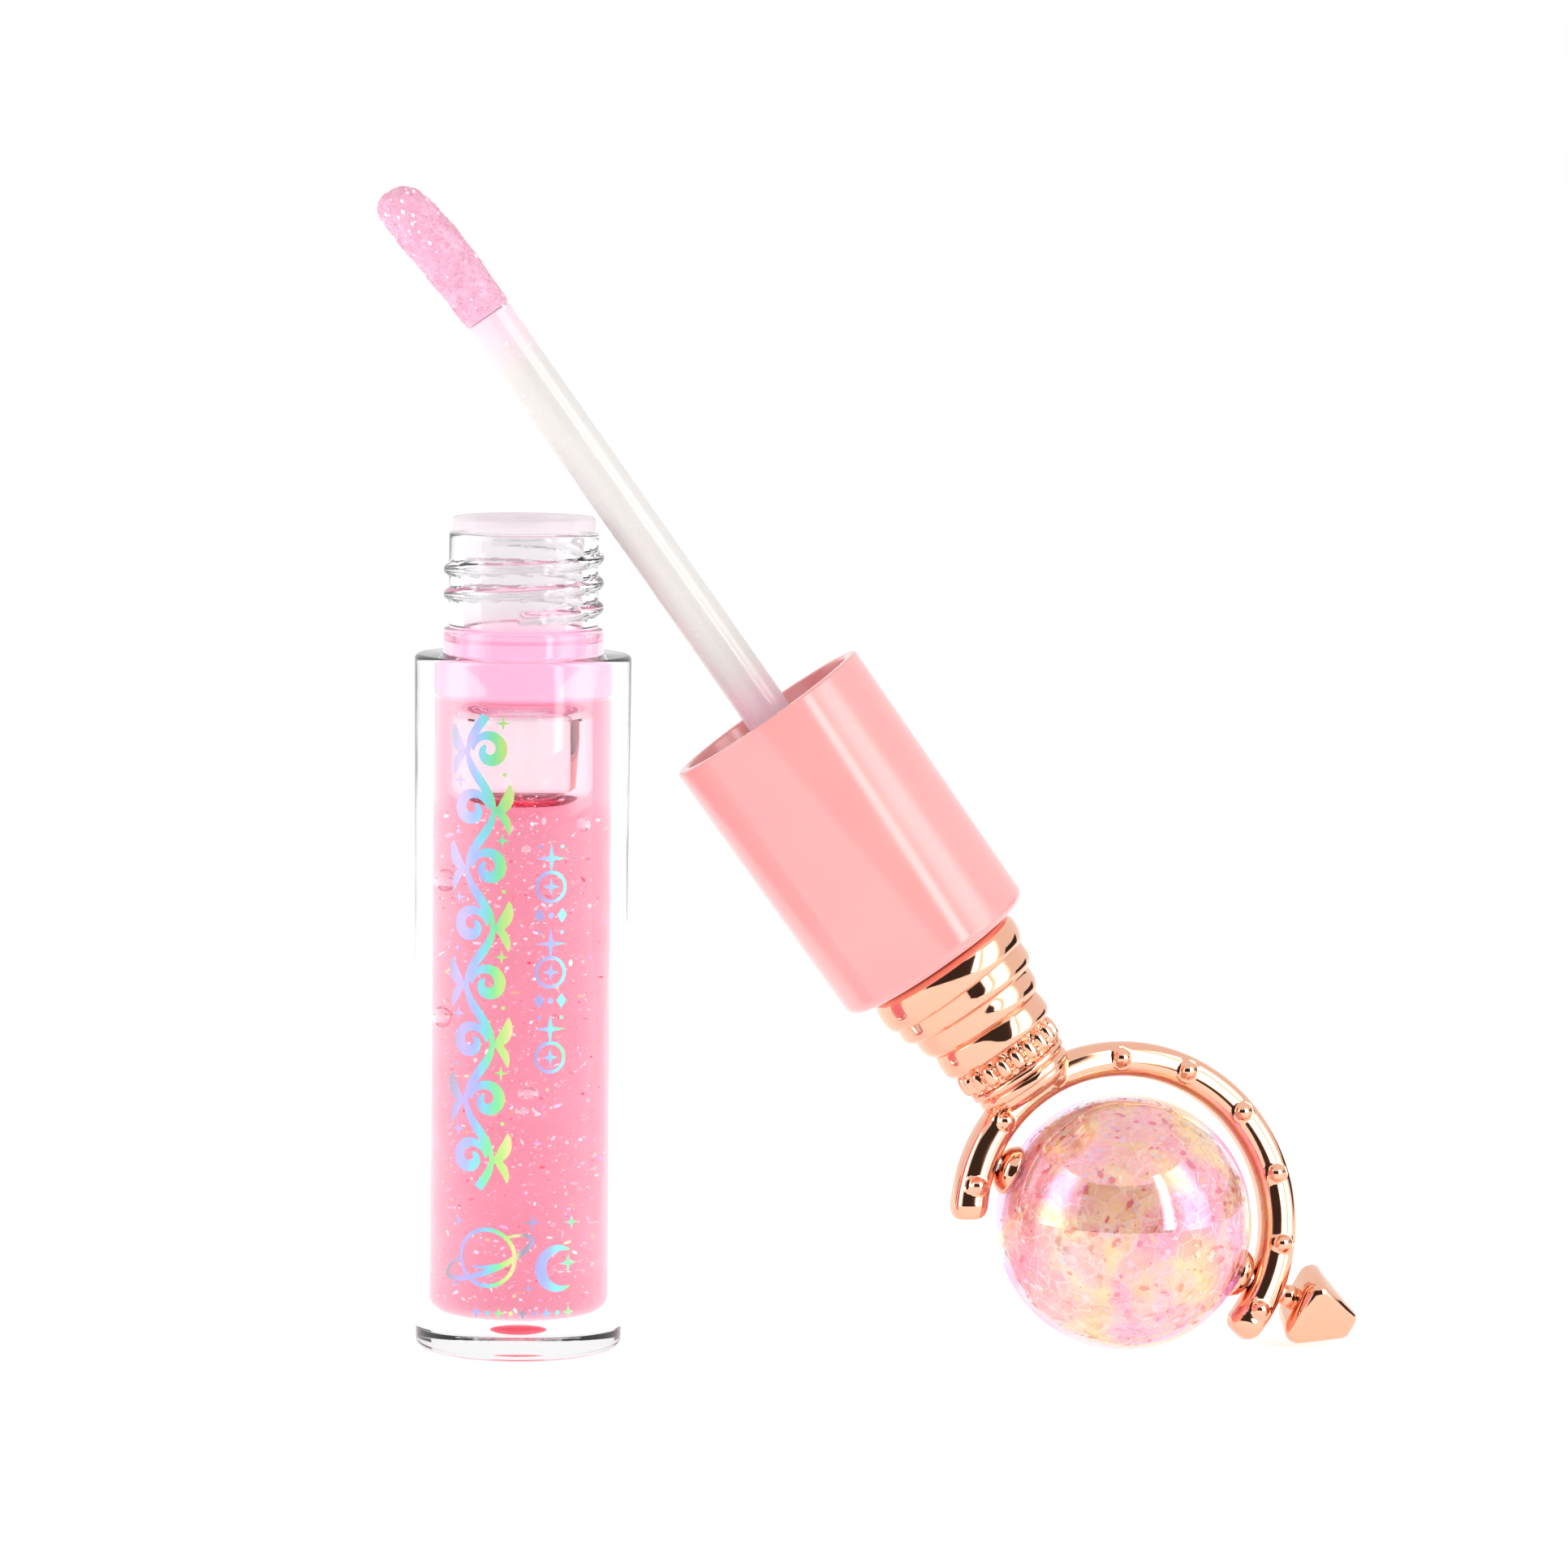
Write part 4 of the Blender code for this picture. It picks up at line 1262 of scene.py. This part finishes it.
class LIPGLOSS_OT_tip(Operator):
    """Shape the flocked applicator tip and plant its fibres"""
    bl_idname = "lipgloss.tip"
    bl_label = "Flocked tip"

    def execute(self, context):
        s = context.scene.lipgloss_closure
        tints = context.scene.lipgloss_colours
        start, end = s.flock_start / MM + 0.15, s.tip / MM
        length = end - start
        # (half width, distance from the start of the flock)
        profile = [(1.98, 0.25), (2.06, 2.5), (2.16, 6.0), (2.16, 9.0), (2.06, 10.8),
                   (1.75, 12.0), (1.2, 12.65), (0.6, length - 0.06)]
        outline = [(1.4, start + 0.05), (1.85, start), (1.98, start + 0.1)]
        outline += [(radius, start + along) for radius, along in flowing(profile, 5)]
        outline += [(0.0, end), (0.0, start + 8.6), (1.35, start + 8.4)]
        tip = turned("tip_core", outline, 64)
        reshape(tip, lambda co: self.slanted(co, start, length))
        fibres = self.fibres(tip, start)
        place = closure_frame()
        finish = wet_flock(tints.flock)
        finished(tip, "closure", finish, ["flocked_tip"], place, smooth=60.0)
        finished(fibres, "closure", finish, place=place)
        drops = self.drops(profile, start, rod=s.rod_radius / MM)
        finished(drops, "closure", gloss_drops(), place=place, smooth=180.0)
        return {"FINISHED"}

    def drops(self, profile, start, rod):
        """Beads of gloss left on the flock and on the rod under it."""
        radii = [(along, radius) for radius, along in reversed(profile)]
        draw = random.Random(31)
        spots = []
        while len(spots) < GLOSS_DROPS:
            along = draw.choice((draw.uniform(9.0, 12.3), draw.uniform(-9.0, 12.0)))
            turn = draw.uniform(0, 2 * math.pi)
            on_flock = along > 0.3
            radius = between(radii, along) if on_flock else rod
            spot = Vector((radius * math.cos(turn), radius * math.sin(turn), start + along)) * MM
            if on_flock:
                spot = self.slanted(spot, start, profile[-1][1])
            across = draw.choice((0.05, 0.07, 0.09, 0.13)) * MM
            longer = draw.uniform(1.0, 1.9)
            shape = Matrix.Diagonal((across, across, across * longer, 1.0))
            spots.append(Matrix.Translation(spot) @ shape)
        fresh()
        bpy.ops.mesh.primitive_ico_sphere_add(subdivisions=2, radius=1.0)
        return repeated(context_piece("gloss_drops"), spots)

    def slanted(self, co, start, length):
        """Lean the end of the tip to one side, like a doe's foot."""
        share = max(0.0, (co.z / MM - start) / length)
        lean = 0.95 * share ** 2.2
        side = math.radians(161)
        return co + Vector((math.cos(side), math.sin(side), 0.0)) * lean * MM

    def fibres(self, tip, start):
        """Short fibres, matted by gloss: each a three-sided spike leaning its own way."""
        corners = tip.data.vertices

        def ring(face):
            """A face's corners, round from the one that comes first in space."""
            spots = [corners[i].co for i in face.vertices]
            first = min(range(len(spots)), key=lambda i: in_space(spots[i]))
            return spots[first:] + spots[:first]

        # The outside of the core: not its axis, its open foot or the walls of its socket
        faces = [f for f in tip.data.polygons
                 if math.hypot(f.center.x, f.center.y) > 0.2 * MM
                 and f.center.z > (start + 0.15) * MM
                 and f.normal.dot(Vector((f.center.x, f.center.y, 0.0))) > -0.1 * MM]
        # Spinning leaves the faces in no fixed order, so they are sorted before any are drawn
        faces.sort(key=lambda face: in_space(face.center))
        draw = random.Random(23)
        spots = []
        for face in draw.choices(faces, [f.area for f in faces], k=FLOCK_FIBRES):
            outline = ring(face)
            a, b, c, d = (outline[i] for i in (0, 1, 2, -1))
            u, v = draw.random(), draw.random()
            spot = a * (1 - u) * (1 - v) + b * u * (1 - v) + c * u * v + d * (1 - u) * v
            loose = scatter(draw)
            wet = 0.5 + 0.5 * math.sin(spot.z / MM * 1.9 + 3 * math.sin(spot.x / MM * 2.3))
            way = (face.normal + loose * (0.35 + 0.3 * wet)).normalized()
            reach = draw.uniform(0.14, 0.3) * (1.0 - 0.4 * wet) * MM
            turn = way.to_track_quat("Z", "Y").to_matrix().to_4x4()
            spots.append(Matrix.Translation(spot - way * 0.03 * MM) @ turn
                         @ Matrix.Diagonal((0.028 * MM, 0.028 * MM, reach, 1.0)))
        fresh()
        bpy.ops.mesh.primitive_cone_add(vertices=3, radius1=1.0, radius2=0.0, depth=1.0,
                                        end_fill_type="NOTHING", location=(0, 0, 0.5))
        spike = context_piece("tip_flock")
        return repeated(spike, spots)


# Ornament ----------------------------------------------------------------------------------

def swelling(low, crest, high):
    """A bulge from valley to crest to valley, round at the crest and sharp in the valleys."""
    (r1, z1), (r2, z2), (r3, z3) = low, crest, high
    quarter = [math.radians(15 * i) for i in range(7)]
    up = [(r1 + (r2 - r1) * math.sin(a), z2 + (z1 - z2) * math.cos(a)) for a in quarter]
    down = [(r3 + (r2 - r3) * math.cos(a), z2 + (z3 - z2) * math.sin(a)) for a in quarter]
    return up + down[1:]


class LIPGLOSS_OT_collar(Operator):
    """Turn the ringed neck of the ornament and the ring of eggs under it"""
    bl_idname = "lipgloss.collar"
    bl_label = "Collar and egg ring"

    def execute(self, context):
        s = context.scene.lipgloss_closure
        plated = rose_gold(context.scene.lipgloss_colours.plating)
        place = closure_frame()
        self.collar(s, plated, place)
        self.egg_ring(s, plated, place)
        return {"FINISHED"}

    def collar(self, s, plated, place):
        """Four rings that shrink towards the arm, each tilted a little on the wand."""
        top = s.cap_end / MM - 0.3
        valleys = ((6.4, top), (6.4, 24.3), (5.8, 22.5), (4.95, 20.4), (4.65, 18.15))
        crests = ((6.95, 25.65), (6.4, 23.35), (5.7, 21.75), (5.2, 18.9))
        outline = [(2.4, top + 1.5), (2.4, top), valleys[0]]
        for valley, crest, next_valley in zip(valleys, crests, valleys[1:]):
            outline += swelling(valley, crest, next_valley)[1:]
        outline += [(1.75, 18.15), (1.75, 23.5), (0.8, 24.0), (0.8, top + 1.5)]
        collar = turned("twisted_neck", outline, 128)
        tilts = ((27.0, 0.0), (25.65, -0.35), (23.3, -0.07), (21.7, 0.17), (20.2, 0.1),
                 (18.75, 0.0))

        def tilted(co):
            height = co.z / MM
            if math.hypot(co.x, co.y) < 3.0 * MM or not 18.2 < height < top - 0.05:
                return co
            tilt = between(tilts, height)
            turn = math.atan2(co.y, co.x) + math.radians(19)
            return co + Vector((0, 0, -tilt * math.cos(turn) * MM))

        reshape(collar, tilted)
        finished(collar, "closure", plated, ["twisted_collar"], place, smooth=50.0)

    def egg_ring(self, s, plated, place):
        """A ring of eggs, each in a fine wire frame."""
        low, high = 15.95, 18.2
        middle = (low + high) / 2
        root, rise = 4.32, 0.5
        outline = [(1.75, high), (root - 0.12, high)]
        rings = 30
        outline += [(root, high - 0.04 - (high - low - 0.08) * i / rings)
                    for i in range(rings + 1)]
        outline += [(root - 0.12, low), (1.75, low)]
        ring = turned("egg_ring", outline, s.eggs * EGG_STEPS)

        def egged(co):
            radius = math.hypot(co.x, co.y) / MM
            if radius < root - 0.05:
                return co
            share = math.atan2(co.y, co.x) / (2 * math.pi) * s.eggs % 1.0
            u = (share - 0.5) * 2.0
            v = (co.z / MM - middle) / ((high - low) / 2)
            v = v * 1.02 + 0.08 * (1 - v * v)
            out = (abs(u) ** 2.1 + abs(v) ** 2.5) ** 0.5
            bulge = max(0.0, 1 - (out / 0.8) ** 2) ** 0.5
            frame_wire = 0.3 * max(0.0, 1 - (abs(out - 0.97) / 0.13) ** 2)
            grown = (root + rise * max(bulge, frame_wire)) / radius
            return Vector((co.x * grown, co.y * grown, co.z))

        reshape(ring, egged)
        finished(ring, "closure", plated, ["gadroon_ring"], place, smooth=50.0)


def between(table, x):
    """Read a falling table of (x, value) with straight steps between its rows."""
    for (x1, v1), (x2, v2) in zip(table, table[1:]):
        if x >= x2:
            share = min(1.0, max(0.0, (x1 - x) / (x1 - x2)))
            return v1 + (v2 - v1) * share
    return table[-1][1]


class LIPGLOSS_OT_arm(Operator):
    """Sweep the C-shaped meridian arm with its pearls and its stepped foot"""
    bl_idname = "lipgloss.arm"
    bl_label = "Meridian arm"

    def execute(self, context):
        s = context.scene.lipgloss_closure
        inner, outer, depth = (v / MM for v in (s.arm_inner, s.arm_outer, s.arm_depth))
        middle, half = (inner + outer) / 2, (outer - inner) / 2
        first, last = -79.5, 143.5              # degrees round the globe
        cap = 1.3                               # length over which an end rounds off
        length = math.radians(last - first) * middle
        pearl_radius = 0.72
        pearls = [math.radians(131.6 - 25.1 * i) for i in range(s.pearls)]
        centres = [(middle * math.cos(a), middle * math.sin(a)) for a in pearls]

        def bar(along, around):
            """A squarish section swept round the globe; its points crowd towards the ends."""
            run = (along + 1) / 2 * length
            run_out = min(run, length - run)
            shrink = math.sqrt(max(0.0, 1 - max(0.0, 1 - run_out / cap) ** 2.1))
            angle = math.radians(first) + run / middle
            turn = math.pi * around
            a, b = math.cos(turn), math.sin(turn)
            girth = 0.35 + 0.65 * shrink if shrink else 0
            across = math.copysign(abs(a) ** 0.74, a) * half * girth
            deep = math.copysign(abs(b) ** 0.74, b) * depth * girth
            radius = middle + across
            x, z = radius * math.cos(angle), radius * math.sin(angle)
            if deep < -0.4 * depth:
                deep = min(deep, self.pearl_front(x, z, centres, pearl_radius, depth))
            return (x * MM, deep * MM, z * MM)

        arm = sheet("meridian_bar", 520, 96, bar)
        foot = [(0, 13.2), (3.6, 13.4), (4.05, 13.9), (4.15, 14.3)]
        foot += swelling((4.1, 15.15), (4.3, 14.75), (4.1, 14.35))[::-1][1:-1]
        foot += swelling((4.1, 15.2), (4.5, 15.6), (4.15, 15.95))[1:]
        foot += [(1.6, 15.95), (1.6, 23.0), (0, 23.0)]
        foot_piece = turned("arm_foot", foot, 96)
        arm = joined("meridian_bar", arm, foot_piece)
        finished(arm, "closure", rose_gold(context.scene.lipgloss_colours.plating),
                 ["meridian_arm"], closure_frame(), smooth=50.0)
        return {"FINISHED"}

    def pearl_front(self, x, z, centres, radius, depth):
        """How far forward the nearest pearl and its soft skirt stand at that spot."""
        away = min(math.hypot(x - cx, z - cz) for cx, cz in centres)
        face, sunk, skirt = 0.05 - depth, 0.05, 0.34
        edge = radius * 0.96
        if away < edge:
            return face - math.sqrt(radius ** 2 - away ** 2) + sunk
        over = (away - edge) / skirt
        rim = math.sqrt(radius ** 2 - edge ** 2)
        return face - (rim - sunk) * (1 - over) ** 2 if over < 1 else 0.0


class LIPGLOSS_OT_globe(Operator):
    """Make the crackle globe: its core, the facets of its cracks and its coated skin"""
    bl_idname = "lipgloss.globe"
    bl_label = "Globe"

    def execute(self, context):
        s = context.scene.lipgloss_closure
        place = globe_frame()
        ball = s.ball / MM
        pin_hole = 0.85
        core = turned("globe_core", self.sphere(ball - 0.6, pin_hole), 96)
        finished(core, "globe", crackled_resin(context.scene.lipgloss_colours.crackle),
                 place=place, smooth=60.0)
        self.facets(ball, place)
        skin = turned("globe_skin", self.sphere(ball, pin_hole), 160)
        finished(skin, "globe", aurora_coat(), ["globe_ball"], place,
                 smooth=60.0)
        return {"FINISHED"}

    def sphere(self, radius, hole):
        """Half a circle from pole to pole, short of the axis by the pin's hole."""
        pole = math.degrees(math.acos(hole / radius))
        return arc((0, 0), radius, pole, -pole, 72)

    def facets(self, ball, place):
        """Small crack faces just under the skin, most of them facing outwards."""
        draw = random.Random(5)
        spots, tones = [], []
        while len(spots) < CRACK_FACETS:
            way = scatter(draw).normalized()
            if abs(way.z) > 0.96:
                continue
            lie = (way + scatter(draw) * 0.14).normalized()
            turn = lie.to_track_quat("Z", "Y").to_matrix().to_4x4()
            across = draw.choice((0.05, 0.07, 0.1, 0.16, 0.26)) * MM
            longer = draw.uniform(1.0, 2.6)
            spin = Matrix.Rotation(draw.uniform(0, 2 * math.pi), 4, "Z")
            spots.append(Matrix.Translation(way * (ball - draw.uniform(0.35, 0.6)) * MM) @ turn
                         @ spin @ Matrix.Diagonal((across * longer, across, across, 1.0)))
            tones.append(draw.random())
        fresh()
        bpy.ops.mesh.primitive_circle_add(vertices=5, radius=1.0, fill_type="NGON")
        facets = context_piece("globe_facets")
        repeated(facets, spots)
        toned(facets, tones)
        finished(facets, "globe", crack_facets(), place=place)


class LIPGLOSS_OT_trim(Operator):
    """Add the globe's pin, its two bead caps and the pointed turning knob"""
    bl_idname = "lipgloss.trim"
    bl_label = "Pin, bead caps and knob"

    def execute(self, context):
        s = context.scene.lipgloss_closure
        plated = rose_gold(context.scene.lipgloss_colours.plating)
        place = globe_frame()
        inner, outer = s.arm_inner / MM, s.arm_outer / MM
        pin = turned("globe_pin", [(0, 1.0 - outer), (0.65, 1.0 - outer), (0.75, 1.1 - outer),
                                   (0.75, 18.4), (0.65, 18.5), (0, 18.5)], 32)
        finished(pin, "globe", ground_steel(), ["axle_pin"], place)
        for name, node_name, pole in (("bead_cap_low", "bead_cap_lower", 1),
                                      ("bead_cap_high", "bead_cap_upper", -1)):
            self.bead_cap(name, node_name, pole, inner, s.ball / MM, plated, place)
        self.knob(outer, plated, place)
        return {"FINISHED"}

    def bead_cap(self, name, stands_for, pole, inner, ball, plated, place):
        """A lens-shaped dome between the globe and the arm."""
        hole, rim = 0.85, 2.1
        seat = ball + 0.15
        seat_rim, seat_hole = math.sqrt(seat ** 2 - rim ** 2), math.sqrt(seat ** 2 - hole ** 2)
        crown = inner - 0.15
        dome = [(hole, crown), (1.2, crown - 0.1), (1.7, crown - 0.4),
                (rim - 0.05, seat_rim + 0.42), (rim + 0.04, seat_rim + 0.2), (rim, seat_rim)]
        outline = flowing(dome, 5) + [(hole, seat_hole)]
        cap = turned(name, [(radius, pole * height) for radius, height in outline], 64)
        finished(cap, "globe", plated, [stands_for], place, smooth=40.0)

    def knob(self, outer, plated, place):
        """A square pyramid with soft edges on a shank with one small bead."""
        base, girth, point = 16.2, 17.1, 22.0
        outline = [(0, base), (3.0, base), (4.3, girth), (1.5, point), (0, point)]
        knob = turned("turning_knob_shell", outline, 4)
        turn = Matrix.Rotation(math.radians(-109), 4, "Z")  # its flats as they rest
        reshape(knob, lambda co: turn @ co)
        applied(knob, "BEVEL", width=0.62 * MM, segments=6, profile=0.5, limit_method="ANGLE",
                angle_limit=math.radians(20))
        bead = [(0, outer + 0.05), (0.7, outer + 0.05)]
        bead += arc((0, outer + 0.75), 1.0, -42, 42, 8)
        bead += [(0.75, base + 0.5), (0, base + 0.5)]
        knob = joined("turning_knob_shell", knob, turned("knob_shank", bead, 48))
        finished(knob, "globe", plated, ["turning_knob"], place, smooth=60.0)


# Add-on ------------------------------------------------------------------------------------

PIECES = (LIPGLOSS_OT_stage, LIPGLOSS_OT_bottle, LIPGLOSS_OT_gloss, LIPGLOSS_OT_wiper,
          LIPGLOSS_OT_foil, LIPGLOSS_OT_cap, LIPGLOSS_OT_wand, LIPGLOSS_OT_tip,
          LIPGLOSS_OT_collar, LIPGLOSS_OT_arm, LIPGLOSS_OT_globe, LIPGLOSS_OT_trim)


class LIPGLOSS_PT_sidebar(Panel):
    """Sizes, colours and a button for each group of pieces"""
    bl_label = "Lip Gloss Tube"
    bl_space_type = "VIEW_3D"
    bl_region_type = "UI"
    bl_category = "Lip Gloss"

    def draw(self, context):
        for group in ("lipgloss_bottle", "lipgloss_closure", "lipgloss_colours"):
            settings = getattr(context.scene, group)
            box = self.layout.box()
            for name in settings.bl_rna.properties.keys():
                if name not in ("rna_type", "name"):
                    box.prop(settings, name)
        for piece in PIECES:
            self.layout.operator(piece.bl_idname)


CLASSES = (BottleSizes, ClosureSizes, Colours, *PIECES, LIPGLOSS_PT_sidebar)


def register():
    for item in CLASSES:
        bpy.utils.register_class(item)
    bpy.types.Scene.lipgloss_bottle = PointerProperty(type=BottleSizes)
    bpy.types.Scene.lipgloss_closure = PointerProperty(type=ClosureSizes)
    bpy.types.Scene.lipgloss_colours = PointerProperty(type=Colours)


def unregister():
    for name in ("lipgloss_bottle", "lipgloss_closure", "lipgloss_colours"):
        delattr(bpy.types.Scene, name)
    for item in reversed(CLASSES):
        bpy.utils.unregister_class(item)


def main():
    register()
    for piece in PIECES:
        group, name = piece.bl_idname.split(".")
        getattr(getattr(bpy.ops, group), name)()
    fresh()


if __name__ == "__main__":
    main()
